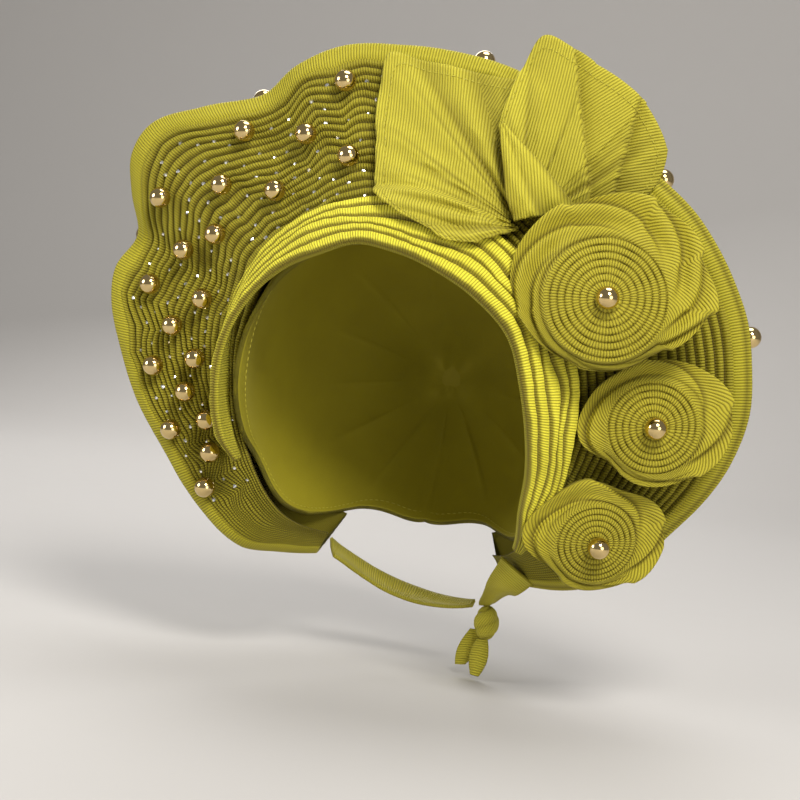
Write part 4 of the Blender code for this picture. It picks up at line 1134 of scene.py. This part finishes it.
def bow_flap(side, trees):
    """One flap of the bow: cloth fanned about the bow's heart in soft folds, hemmed at its outer edge."""
    sizes, colours = settings()
    rows = numbered(BOW_FLAPS[side])
    heart, _ = on_front(BOW_HEART, PLEAT_HEIGHT)
    crease_draw, pinch_draw = (3, 1) if side == "left" else (8, 4)
    lines, steps = FLAP_LINES * (len(rows) - 1), 40
    across = np.zeros((lines + 1, steps + 1, 2))
    depth, stand, painted_shades, overlap = np.zeros((4, lines + 1, steps + 1))
    grains = np.zeros((lines, steps))
    for r in range(lines + 1):
        place = r / FLAP_LINES
        bearing = value_at(rows, "bearing", place)
        reach = value_at(rows, "reach", place) * BOW_SPAN
        lift = value_at(rows, "lift", place)
        for c in range(steps + 1):
            grain = rows[r // FLAP_LINES]["grain"]
            step = 0.07 + 0.93 * c / steps
            x = heart.x + reach * step * cos(radians(bearing))
            z = heart.z + reach * step * sin(radians(bearing))
            crease = 0.16 * wander(bearing / 5.0, 2.0, crease_draw) * (1.1 - step)
            pinch = exp(-((wander(bearing / 9.0, 6.0, pinch_draw) / 0.10) ** 2)) * (1.05 - step)
            crease -= 0.55 * pinch
            soft = 0.12 * wander(bearing / 16.0, step * 2.4, 5)
            across[r, c] = x, z
            depth[r, c] = front_of(trees, x, z)
            rise = (lift + crease + soft) * BOW_LIFT * sin(pi * (0.18 + 0.55 * step))
            stand[r, c] = FLAP_WALL + rise
            # Painted light on the raised folds and painted shade in the low creases, towards the bow's heart
            # and at the pinches.
            painted_shades[r, c] = 0.45 + 0.55 * ease(0.0, 0.9, lift + crease)
            painted_shades[r, c] *= (0.70 + 0.30 * step) * (1 - 0.75 * pinch)
            for fold in FAN_FOLDS if side == "right" else ():
                past = right_of(fold, x - heart.x, z - heart.z)
                grain = fold["grain"] if past > 0 else grain
                overlap[r, c] += -0.55 * exp(-past / 0.007) if past > 0 else 0.20 * exp(past / 0.006)
                # Painted shadow that each fold casts on the cloth just to its right.
                painted_shades[r, c] *= 1 - 0.65 * exp(-past / 0.0025) if past > 0 else 1
            if r < lines and c < steps:
                grains[r, c] = grain
    depth = smoothed(depth, 6)
    stand = smoothed(stand, 24) + overlap * BOW_LIFT
    uvs = grain_uvs(across[..., 0], across[..., 1], grains)
    points = np.stack([across[..., 0], depth - stand, across[..., 1]], -1)
    points = settle(points, f"bow_flap_{side}")
    painted_shades = np.minimum(painted_shades, 1)
    made = sheet_of(f"bow_flap_{side}_cloth", points, uvs, painted_shades, sizes.flap_thickness, (0, -1, 0))
    finish = cloth_material("bow cloth", colours.bow, sizes.rib_pitch, fold_shade=0.80, rib_gap_shade=0.40)
    dress(made, finish, f"bow_flap_{side}")
    return made, points


def bow_tongue(trees):
    """The folded tongue of cloth over the seam between the two flaps."""
    sizes, colours = settings()
    rows = numbered(BOW_TONGUE_ROWS)
    heart, _ = on_front(BOW_HEART, PLEAT_HEIGHT)
    a = radians(BOW_TONGUE["bearing"])
    along, across = Vector((cos(a), 0, sin(a))), Vector((sin(a), 0, -cos(a)))
    folds = table("angle fold", (0.0, 0.0), (0.3, 0.9), (0.45, 0.2), (0.75, 0.7), (1.0, 0.0))
    lines, steps = 44, 30
    grid = np.zeros((lines + 1, steps + 1, 2))
    depth, stand, painted_shades = np.zeros((3, lines + 1, steps + 1))
    for r in range(lines + 1):
        place = r / lines * (len(rows) - 1)
        run, left, right, lift = (value_at(rows, name, place) for name in ("along", "left", "right", "lift"))
        spine = heart + along * BOW_TONGUE["reach"] * BOW_SPAN * run
        for c in range(steps + 1):
            share = c / steps
            spot = spine + across * (-left + (left + right) * share) * BOW_SPAN
            fold = value_at(folds, "fold", share)
            grid[r, c] = spot.x, spot.z
            depth[r, c] = front_of(trees, spot.x, spot.z)
            stand[r, c] = BOW_LIFT * (lift + 0.5 * fold * (1.2 - run)) + FLAP_WALL
            # Painted light on the tongue's raised folds and painted shade in its creases, darkest near the
            # bow's heart.
            painted_shades[r, c] = 0.30 + 0.70 * ease(0.0, 0.7, fold + 0.4 * run)
    depth = smoothed(depth, 6)
    uvs = grain_uvs(grid[..., 0], grid[..., 1], np.full((lines, steps), 100.0))
    points = np.stack([grid[..., 0], depth - stand, grid[..., 1]], -1)
    points = settle(points, "bow_tongue")
    made = sheet_of("bow_tongue_cloth", points, uvs, painted_shades, sizes.flap_thickness, (0, -1, 0))
    finish = cloth_material("bow cloth", colours.bow, sizes.rib_pitch)
    dress(made, finish, "bow_tongue")
    return made


def petal_section(phase):
    """Height across a petal: low where it slips out from under its neighbour, high near its edge."""
    return ease(0.0, 0.80, phase) * ease(1.0, 0.90, phase)


def rosette_weave(row, local, core, core_rows, pitch):
    """Faces and UVs of a flower: whole ribs round each lap of the core, slanting ribs over the petals."""
    columns = local.shape[1]
    out = lengths_along(local, 0).mean(1)
    faces, r, c = grid_faces(len(local), columns, wrap_columns=True)
    in_core = r < core_rows - 1
    lap = np.floor(row["turns"] * (r + 1.5) / core_rows - (c + 0.5) / columns + row["turn"] / 360)
    lap_radius = (lap + 1 - row["turn"] / 360) * core / row["turns"]
    ribs = np.maximum(4, np.round(2 * pi * np.where(in_core, lap_radius, 0.78 * core) / pitch))
    start, end = c / columns * ribs * pitch, (c + 1) / columns * ribs * pitch
    slant = 0.8 * np.maximum(0.0, out - out[core_rows - 1])
    near, far = np.where(in_core, 0, slant[r]), np.where(in_core, 0, slant[r + 1])
    here, beyond = out[r], out[r + 1]
    corners = [(start + near, here), (end + near, here), (end + far, beyond), (start + far, beyond)]
    uvs = np.stack([np.stack(corner, -1) for corner in corners], 1)
    return faces, uvs


def rosette(row):
    """A rolled ribbon flower: a tightly wound core whose last turns sweep out into overlapping petals."""
    sizes, colours = settings()
    node = "rosette_" + row["name"]
    reach = ROSETTE_REACH * row["size"]
    height = ROSETTE_HEIGHT * (0.4 + 0.6 * row["size"])
    core = ROSETTE_CORE * reach
    outline = ROSETTE_OUTLINE[row["name"]]
    hem = ROSETTE_SKIRT_LIFT + ROSETTE_SKIRT_WALL
    columns, core_rows, outer_rows = 300, int(row["turns"] * 10), 46
    rings, floors, painted_shades = [], [], []
    for j in range(1, core_rows + outer_rows + 1):
        inner, share = min(1.0, j / core_rows), max(0.0, (j - core_rows) / outer_rows)
        ring, floor_line, wear_and_painted_shade = [], [], []
        for i in range(columns):
            bearing = 360 * i / columns
            turned = (bearing - row["turn"]) / 360
            fan = row["arms"] * (turned + 0.07 * sin(radians(bearing + 10)))
            corner = petal_section((row["sweep"] - fan) % 1.0)
            limit = value_at(outline, "reach", bearing) * reach * (0.96 + 0.05 * corner)
            limit = max(limit, core + 0.004)
            radius = core * inner + (limit - core) * share
            wound = loaf((row["turns"] * inner + 1.6 * share - turned) % 1.0, 3.6) ** 1.2
            sweep = (row["sweep"] * share**0.85 - fan) % 1.0
            petal = petal_section(sweep)
            opened = ease(0.0, 0.40, share) * (0.2 + 0.8 * ease(0.004, 0.012, limit - core))
            crown = height * (1 - 0.16 * min(1.0, radius / core) ** 2)
            level = crown + (hem - crown) * (0.35 * share + 0.65 * share**1.6)
            groove = 0.7 * sizes.ribbon_depth * min(1.0, 0.3 + radius / core) * (1 - opened)
            fold = 0.0034 * row["size"] * sin(pi * (0.15 + 0.75 * share)) * opened
            lift = 0.5 * PETAL_RISE * row["size"] * petal * ease(0.3, 1.0, share)
            crease = 0.0007 * wander(bearing / 16, share * 2, row["angle"]) * opened
            z = level + lift + crease - groove * (1 - wound) - fold * (1 - petal)
            a = radians(bearing)
            ring.append((radius * cos(a), radius * sin(a), z))
            under = 0.995 * radius
            floor_line.append((under * cos(a), under * sin(a), level - groove - fold - 0.0016))
            # Painted shade between the core's turns and where each petal slips out from under its neighbour.
            rolled, spread = 0.03 + 0.85 * wound, 0.22 + 0.78 * ease(0.0, 0.26, sweep)
            wear_and_painted_shade.append(rolled + (spread - rolled) * opened)
        rings.append(ring)
        floors.append(floor_line)
        painted_shades.append(wear_and_painted_shade)
    stalk = core * ROSETTE_STALK
    for share in (1.0, 0.7, 0.35):
        rings.append(floors[core_rows + int(outer_rows * share) - 1])
    for z in (0.8 * height - 0.0050, 0.0):
        around = [2 * pi * i / columns for i in range(columns)]
        rings.append([(stalk * cos(a), stalk * sin(a), z) for a in around])
    painted_shades += [[0.5] * columns] * 5
    local = np.asarray(rings, float)
    place, normal = on_front(row, PLEAT_HEIGHT)
    across = -normal.cross(Vector((0, 0, 1))).normalized()
    up = normal.cross(across).normalized()
    sunk = min((Vector(p) - place).dot(normal) for p in cad_points(node))
    axes = np.array([across, up, normal])
    poles = np.array([local[0].mean(0), local[-1].mean(0)])
    points = np.concatenate([local.reshape(-1, 3), poles]) @ axes + np.array(place + normal * sunk)
    pitch = sizes.rib_pitch * 0.95
    faces, uvs = rosette_weave(row, local, core, core_rows, pitch)
    ring, shift, count = np.arange(columns), (len(local) - 1) * columns, len(local) * columns
    triangles = end_faces(count, ring, shift + ring)
    wear_and_painted_shade = np.concatenate([np.asarray(painted_shades, float).ravel(), [0.3, 0.5]])
    made = shell(f"{node}_cloth", points, faces, uvs, triangles, np.zeros((2 * columns, 3, 2)), wear_and_painted_shade)
    finish = cloth_material("flower cloth", colours.flower, pitch, fold_shade=0.90, rib_gap_shade=0.58)
    dress(made, finish, node)
    return made


def strap(side):
    """A flat strap with a folded edge, from one end of the halo to the knot at the nape."""
    sizes, colours = settings()
    node = f"tie_{side}"
    rows = numbered(TIES[side])
    per_row, steps = 16, 10
    lines = per_row * (len(rows) - 1)
    middles, outs, widths = [], [], []
    for s in range(lines + 1):
        place = s / per_row
        angle, reach, forward, width, facing = (
            value_at(rows, name, place) for name in ("turn", "reach", "forward", "width", "facing")
        )
        section = Vector((head_radius(angle) + CAP_WALL + reach * HALO_WIDTH, -forward * RIM_FORWARD))
        away = in_space(angle, Vector((1, 0.3))) - in_space(angle, Vector((0, 0)))
        outward = away.normalized() * (1 - facing) + Vector((0, -1, 0)) * facing
        middles.append(in_space(angle, section))
        outs.append(outward.normalized())
        widths.append(width * STRAP_WIDTH)
    solid = cad_points(node)
    grid, painted_shades = [], []
    for s in range(lines + 1):
        run = middles[min(s + 1, lines)] - middles[max(s - 1, 0)]
        across = run.cross(outs[s]).normalized()
        line, wear_and_painted_shade = [], []
        for c in range(steps + 1):
            share = c / steps - 0.5
            bulge = 0.0004 * wander(s / 9, c / 3) + 0.0005 * cos(2 * pi * share)
            line.append(middles[s] + across * widths[s] * share + outs[s] * (bulge - 0.0002))
            # Painted shade towards the strap's edges.
            wear_and_painted_shade.append(0.75 + 0.25 * cos(2 * pi * share))
        grid.append(line)
        painted_shades.append(wear_and_painted_shade)
    points = np.asarray(grid, float)
    want = (solid.min(0) + solid.max(0)) / 2
    back = points - np.asarray(outs, float)[:, None] * STRAP_WALL
    both = np.concatenate([points.reshape(-1, 3), back.reshape(-1, 3)])
    points += want - (both.min(0) + both.max(0)) / 2
    uvs = strip_uvs(points)
    made = sheet_of(node + "_cloth", points, uvs, painted_shades, STRAP_WALL, np.asarray(outs, float).mean(0))
    finish = cloth_material("strap cloth", colours.bow, sizes.rib_pitch, fold_shade=0.5, rib_gap_shade=0.3)
    dress(made, finish, node)
    return made


def nape_knot():
    """The knot: cloth wound round itself, with a deep crease where the strap passes over."""
    sizes, colours = settings()
    solid = cad_points("nape_knot")
    middle = (solid.min(0) + solid.max(0)) / 2
    half = (solid.max(0) - solid.min(0)) / 2
    columns, rings = 72, 40
    grid, painted_shades = [], []
    for j in range(1, rings):
        t = pi * j / rings
        line, wear_and_painted_shade = [], []
        for i in range(columns):
            a = 2 * pi * i / columns
            wound = loaf(((a / (2 * pi)) * 2 + t * 0.9) % 1.0, 2.4)
            band = 0.90 + 0.13 * wound + 0.02 * wander(a * 2, t * 3)
            line.append(middle + half * np.array([sin(t) * cos(a), sin(t) * sin(a), cos(t)]) * band)
            # Painted shade in the knot's creases between its turns.
            wear_and_painted_shade.append(0.2 + 0.8 * wound)
        grid.append(line)
        painted_shades.append(wear_and_painted_shade)
    points = np.asarray(grid, float)
    faces, r, c = grid_faces(len(points), columns, wrap_columns=True)
    run = np.arange(columns + 1) / columns * 2 * pi * half[0]
    down = np.arange(len(points)) / rings * pi * half[2]
    uv = np.stack(np.broadcast_arrays(run[None, :] + down[:, None] * 0.6, down[:, None]), -1)
    uvs = point_uvs(uv, r, c)
    flat = points.reshape(-1, 3)
    poles = np.array([middle + half * [0, 0, 0.95], middle - half * [0, 0, 0.95]])
    ring, shift = np.arange(columns), (len(points) - 1) * columns
    triangles = end_faces(len(flat), ring, shift + ring)
    wear_and_painted_shade = np.concatenate([np.asarray(painted_shades, float).ravel(), [0.6, 0.6]])
    blank = np.zeros((2 * columns, 3, 2))
    made = shell("nape_knot_cloth", np.concatenate([flat, poles]), faces, uvs, triangles, blank, wear_and_painted_shade)
    finish = cloth_material("strap cloth", colours.bow, sizes.rib_pitch)
    dress(made, finish, "nape_knot")
    return made


def tie_tail(side, twist):
    """One hanging end of a strap, folded along its middle and slightly twisted."""
    sizes, colours = settings()
    node = f"tie_tail_{side}"
    solid = cad_points(node)
    low, high = solid.min(0), solid.max(0)
    lines, steps = 36, 10
    grid, painted_shades = [], []
    top = Vector(solid[solid[:, 2] > high[2] - 0.001].mean(0))
    bottom = Vector(solid[solid[:, 2] < low[2] + 0.001].mean(0))
    for s in range(lines + 1):
        share = s / lines
        middle = top.lerp(bottom, share)
        a = radians(twist * share)
        across, outward = Vector((cos(a), -sin(a), 0)), Vector((sin(a), cos(a), 0))
        width = STRAP_WIDTH * (0.32 + 0.25 * sin(pi * share))
        line, wear_and_painted_shade = [], []
        for c in range(steps + 1):
            t = c / steps - 0.5
            fold = 0.0009 * cos(pi * t) * (1 - 0.3 * share)
            drop = Vector((0, 0, -0.0012 * sin(pi * share) * abs(t)))
            line.append(middle + across * width * t - outward * (fold - 0.0008 - STRAP_WALL / 2) + drop)
            # Painted shade towards the tail's folded sides.
            wear_and_painted_shade.append(0.55 + 0.45 * cos(pi * t))
        grid.append(line)
        painted_shades.append(wear_and_painted_shade)
    points = np.asarray(grid, float)
    uvs = strip_uvs(points)
    made = sheet_of(node + "_cloth", points, uvs, painted_shades, STRAP_WALL * 0.8, (0, -1, 0))
    finish = cloth_material("strap cloth", colours.bow, sizes.rib_pitch)
    dress(made, finish, node)
    return made


def gold_beads():
    """All the round beads, on the halo, behind its rim and at the heart of each flower."""
    sizes, colours = settings()
    names = [f"halo_bead_{n + 1:02d}" for n in range(len(FRONT_BEADS))]
    names += [f"rim_bead_{n + 1:02d}" for n in range(RIM_BEAD_COUNT)]
    names += ["rosette_bead_" + row["name"] for row in ROSETTES]
    centres = []
    for name in names:
        low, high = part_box(name)
        centres.append((low + high) / 2)
    facings = [(0.1, -1.0, 0.2)] * len(centres)
    places = places_mesh("bead places", centres, facing=facings)
    finish = metal_material("gold bead", colours.gold)
    values = {"Diameter": sizes.bead_diameter, "Sides": 32, "Material": finish}
    made = run_tree("gold_beads", places, bead_tree(), values)
    dress(made, finish, *names, slot="gold_bead")
    return made


def from_bead(bead, angle, out):
    """Distance of a place on the halo's front from a bead."""
    return hypot(radians(bead["angle"] - angle) * MEAN_FRONT_RADIUS, (bead["out"] - out) * MEAN_FRONT_WIDTH)


def clear_stones():
    """Clear stones sewn in the valleys between the pleats of the halo's right half and top."""
    sizes, _ = settings()
    draw = random.Random(11)
    points, facings, scales = [], [], []
    tries = 0
    while len(points) < sizes.stone_count and tries < 20000:
        tries += 1
        angle = draw.uniform(-127, 12)
        pleat = draw.randint(2, FRONT_PLEATS - 3)
        out = pleat / FRONT_PLEATS
        size = draw.uniform(0.75, 1.15)
        if draw.random() > 0.35 + 0.65 * ease(-20, -60, angle):
            continue
        lines = halo_lines(angle)
        spot = in_space(angle, front_point(angle, out, 0.0009, lines))
        if any((spot - other).length < STONE_ROOM for other in points):
            continue
        if any(from_bead(bead, angle, out) < STONE_BEAD_ROOM for bead in FRONT_BEADS):
            continue
        _, normal = on_front({"angle": angle, "out": out}, 0)
        lean = Vector([draw.uniform(-0.7, 0.7) for _ in range(3)])
        points.append(spot)
        facings.append((normal + lean).normalized())
        scales.append(size)
    places = places_mesh("stone places", points, facing=facings, size=scales)
    finish = stone_material("clear stone")
    values = {"Diameter": sizes.stone_diameter, "Facets": 12, "Seed": 4, "Material": finish}
    made = run_tree("clear_stones", places, stone_tree(), values)
    dress(made, finish, slot=None)
    return made


def hem_stitches(flaps):
    """Stitch lines along the hems of the bow's flaps and of the cap."""
    _, colours = settings()
    lines = []
    for points in flaps:
        rows = points.shape[0]
        lines.append([points[r, -4] + np.array([0, -0.00022, 0]) for r in range(2, rows - 2)])
    hem = []
    for s in range(241):
        angle = -180 + 360 * s / 240
        edge = value_at(CAP_EDGE, "forward", angle)
        hem.append(np.array(in_space(angle, over_head(angle, edge - 3.2, -0.00015))))
    lines.append(hem)
    points, edges = [], []
    for line in lines:
        start = len(points)
        points += [tuple(p) for p in line]
        edges += [(start + k, start + k + 1) for k in range(len(line) - 1)]
    places = places_mesh("stitch lines", points, edges)
    finish = thread_material("sewing thread", colours.bow)
    values = {"Pitch": 0.0030, "Length": 0.0022, "Thickness": 0.00045, "Material": finish}
    made = run_tree("hem_stitches", places, stitch_tree(), values)
    dress(made, finish, slot=None)
    return made


def area_light(name, place, aim, size, power, colour=(1, 1, 1)):
    """A large soft light."""
    lamp = bpy.data.lights.new(name, "AREA")
    lamp.shape = "DISK"
    lamp.size = size
    lamp.energy = power
    lamp.color = colour
    made = bpy.data.objects.new(name, lamp)
    made.location = place
    made.rotation_mode = "QUATERNION"
    made.rotation_quaternion = (Vector(aim) - Vector(place)).to_track_quat("-Z", "Y")
    bpy.context.scene.collection.objects.link(made)
    return made


def backdrop():
    """A pale floor that runs up into a pale wall behind."""
    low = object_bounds()[0].z - 0.002
    points, columns = [], 25
    profile = [(-3.0, 0.0), (-1.0, 0.0), (0.6, 0.0), (0.9, 0.0)]
    for k in range(1, 11):
        a = radians(90 * k / 10)
        profile.append((0.9 + 0.6 * sin(a), 0.6 * (1 - cos(a))))
    profile += [(1.5, 1.2), (1.5, 2.6)]
    for y, z in profile:
        points.append([(x * 0.3 - 3.6, y, low + z) for x in range(columns)])
    grid = np.asarray(points, float)
    faces, r, c = grid_faces(len(profile), columns)
    uvs = point_uvs(grid[..., :2], r, c)
    made = mesh_object("backdrop", grid.reshape(-1, 3), faces, uvs, np.ones(grid.shape[0] * columns))
    made.data.materials.append(plain_material("pale backdrop", (0.50, 0.48, 0.46), 0.8))
    made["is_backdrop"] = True
    return made


def camera():
    """The camera, at the angle that shows the wrap as it is worn, from the front and a little to its left."""
    azimuth, elevation, roll = (radians(CAMERA[k]) for k in ("azimuth", "elevation", "roll"))
    back = Vector((sin(azimuth) * cos(elevation), -cos(azimuth) * cos(elevation), sin(elevation)))
    level = Vector((0, 0, 1)).cross(back).normalized()
    upright = back.cross(level)
    right = level * cos(roll) + upright * sin(roll)
    up = -level * sin(roll) + upright * cos(roll)
    data = bpy.data.cameras.new("camera")
    data.lens = CAMERA["lens"]
    data.sensor_width = 36
    made = bpy.data.objects.new("camera", data)
    place = Vector(CAMERA_AIM["point"]) + back * CAMERA["distance"]
    place += -right * CAMERA_AIM["right"] + up * CAMERA_AIM["up"]
    made.matrix_world = Matrix.Translation(place) @ Matrix((right, up, back)).transposed().to_4x4()
    bpy.context.scene.collection.objects.link(made)
    bpy.context.scene.camera = made
    return made


def length_setting(name, description, default):
    """A length that a user may change."""
    return FloatProperty(name=name, description=description, default=default, unit="LENGTH")


def colour_setting(name, description, default):
    """A colour that a user may change."""
    return FloatVectorProperty(name=name, description=description, default=default, size=3, subtype="COLOR")


class GeleSizes(bpy.types.PropertyGroup):
    """Sizes that a user may change"""

    rib_pitch: length_setting("Rib pitch", "Distance between the cloth's ribs", 0.0013)
    pleat_depth: length_setting("Pleat depth", "Height of the halo's pleats", 0.0026)
    brow_fold_height: length_setting("Brow fold height", "Height of the rolls round the face", 0.0028)
    flap_thickness: length_setting("Flap thickness", "Cloth wall of the bow", 0.0012)
    ribbon_depth: length_setting("Ribbon depth", "Depth of the gaps between a flower's turns", 0.0026)
    bead_diameter: length_setting("Bead diameter", "Diameter of the round beads", 0.010)
    stone_diameter: length_setting("Stone diameter", "Diameter of the clear stones", 0.0021)
    stone_count: IntProperty(
        name="Stone count", description="How many clear stones are sewn on", default=165, min=0, max=600
    )


class GeleColours(bpy.types.PropertyGroup):
    """Colours that a user may change"""

    # The brow, halo, bow and flower colours are one cloth in lit and shaded copies: painted lightest on the
    # brow, which the light falls on most, darkest on the halo, which lies most in shade, with the bow and
    # flowers between.
    brow: colour_setting("Brow", "Cloth round the face", (0.84, 0.76, 0.055))
    halo: colour_setting("Halo", "Cloth of the pleated halo", (0.47, 0.41, 0.024))
    bow: colour_setting("Bow", "Cloth of the bow", (0.58, 0.51, 0.042))
    flower: colour_setting("Flower", "Cloth of the flowers", (0.50, 0.43, 0.030))
    gold: colour_setting("Gold", "Plating of the beads", (0.74, 0.57, 0.27))


class GELE_OT_crown_cap(bpy.types.Operator):
    """Makes the cap over the crown and the back of the head"""

    bl_idname = "gele.crown_cap"
    bl_label = "Crown cap"

    def execute(self, context):
        crown_cap()
        return {"FINISHED"}


class GELE_OT_brow_wrap(bpy.types.Operator):
    """Makes the soft rolls of cloth round the face"""

    bl_idname = "gele.brow_wrap"
    bl_label = "Brow wrap"

    def execute(self, context):
        brow_wrap()
        return {"FINISHED"}


class GELE_OT_halo(bpy.types.Operator):
    """Makes the finely pleated halo with its rolled rim"""

    bl_idname = "gele.halo"
    bl_label = "Pleated halo"

    def execute(self, context):
        pleated_halo()
        return {"FINISHED"}


class GELE_OT_bow(bpy.types.Operator):
    """Makes the bow's flaps, the tongue between them and the hem stitches"""

    bl_idname = "gele.bow"
    bl_label = "Bow"

    def execute(self, context):
        under = [search_tree(bpy.data.objects[name]) for name in ("pleated_halo_cloth", "brow_wrap_cloth")]
        grids = []
        for side in BOW_FLAPS:
            made, points = bow_flap(side, under)
            under.append(search_tree(made))
            grids.append(points)
        bow_tongue(under)
        hem_stitches(grids)
        return {"FINISHED"}


class GELE_OT_rosettes(bpy.types.Operator):
    """Makes the three rolled ribbon flowers"""

    bl_idname = "gele.rosettes"
    bl_label = "Flowers"

    def execute(self, context):
        for row in ROSETTES:
            rosette(row)
        return {"FINISHED"}


class GELE_OT_ties(bpy.types.Operator):
    """Makes the straps, their knot and its ends"""

    bl_idname = "gele.ties"
    bl_label = "Nape ties"

    def execute(self, context):
        for side in TIES:
            strap(side)
        nape_knot()
        tie_tail("front", 35)
        tie_tail("back", -30)
        return {"FINISHED"}


class GELE_OT_beads(bpy.types.Operator):
    """Makes the round beads"""

    bl_idname = "gele.beads"
    bl_label = "Beads"

    def execute(self, context):
        gold_beads()
        return {"FINISHED"}


class GELE_OT_stones(bpy.types.Operator):
    """Makes the clear stones"""

    bl_idname = "gele.stones"
    bl_label = "Stones"

    def execute(self, context):
        clear_stones()
        return {"FINISHED"}


class GELE_OT_stage(bpy.types.Operator):
    """Makes the floor, the lights and the camera"""

    bl_idname = "gele.stage"
    bl_label = "Stage"

    def execute(self, context):
        backdrop()
        aim = (0, -0.02, -0.06)
        area_light("key light", (0.50, -1.00, 0.90), aim, 0.5, 20, (1.0, 0.98, 0.94))
        area_light("fill light", (0.9, -1.0, 0.1), aim, 0.7, 3.5, (1.0, 0.99, 0.96))
        area_light("top light", (0.1, 0.15, 1.2), aim, 0.8, 8)
        area_light("side light", (-1.0, -0.5, 0.2), aim, 0.5, 5)
        area_light("back light", (-0.4, 1.0, 0.5), aim, 0.8, 6)
        world = bpy.data.worlds.new("studio")
        world.use_nodes = True
        world.node_tree.nodes["Background"].inputs[0].default_value = (1.0, 0.98, 0.95, 1)
        world.node_tree.nodes["Background"].inputs[1].default_value = 0.22
        bpy.context.scene.view_settings.view_transform = "Standard"
        bpy.context.scene.world = world
        camera()
        return {"FINISHED"}


OPERATORS = (
    GELE_OT_crown_cap,
    GELE_OT_brow_wrap,
    GELE_OT_halo,
    GELE_OT_bow,
    GELE_OT_rosettes,
    GELE_OT_ties,
    GELE_OT_beads,
    GELE_OT_stones,
    GELE_OT_stage,
)


class GELE_PT_panel(bpy.types.Panel):
    """Lists the gele's sizes, colours and pieces"""

    bl_label = "Gele"
    bl_idname = "GELE_PT_panel"
    bl_space_type = "VIEW_3D"
    bl_region_type = "UI"
    bl_category = "Gele"

    def draw(self, context):
        for group in (context.scene.gele_sizes, context.scene.gele_colours):
            for name in group.__annotations__:
                self.layout.prop(group, name)
        for operator in OPERATORS:
            self.layout.operator(operator.bl_idname)


CLASSES = (GeleSizes, GeleColours, *OPERATORS, GELE_PT_panel)


def register():
    for item in CLASSES:
        bpy.utils.register_class(item)
    bpy.types.Scene.gele_sizes = PointerProperty(type=GeleSizes)
    bpy.types.Scene.gele_colours = PointerProperty(type=GeleColours)


def unregister():
    del bpy.types.Scene.gele_sizes
    del bpy.types.Scene.gele_colours
    for item in reversed(CLASSES):
        bpy.utils.unregister_class(item)


def main():
    """Makes every piece in order."""
    register()
    for operator in OPERATORS:
        group, name = operator.bl_idname.split(".")
        getattr(getattr(bpy.ops, group), name)()


if __name__ == "__main__":
    main()
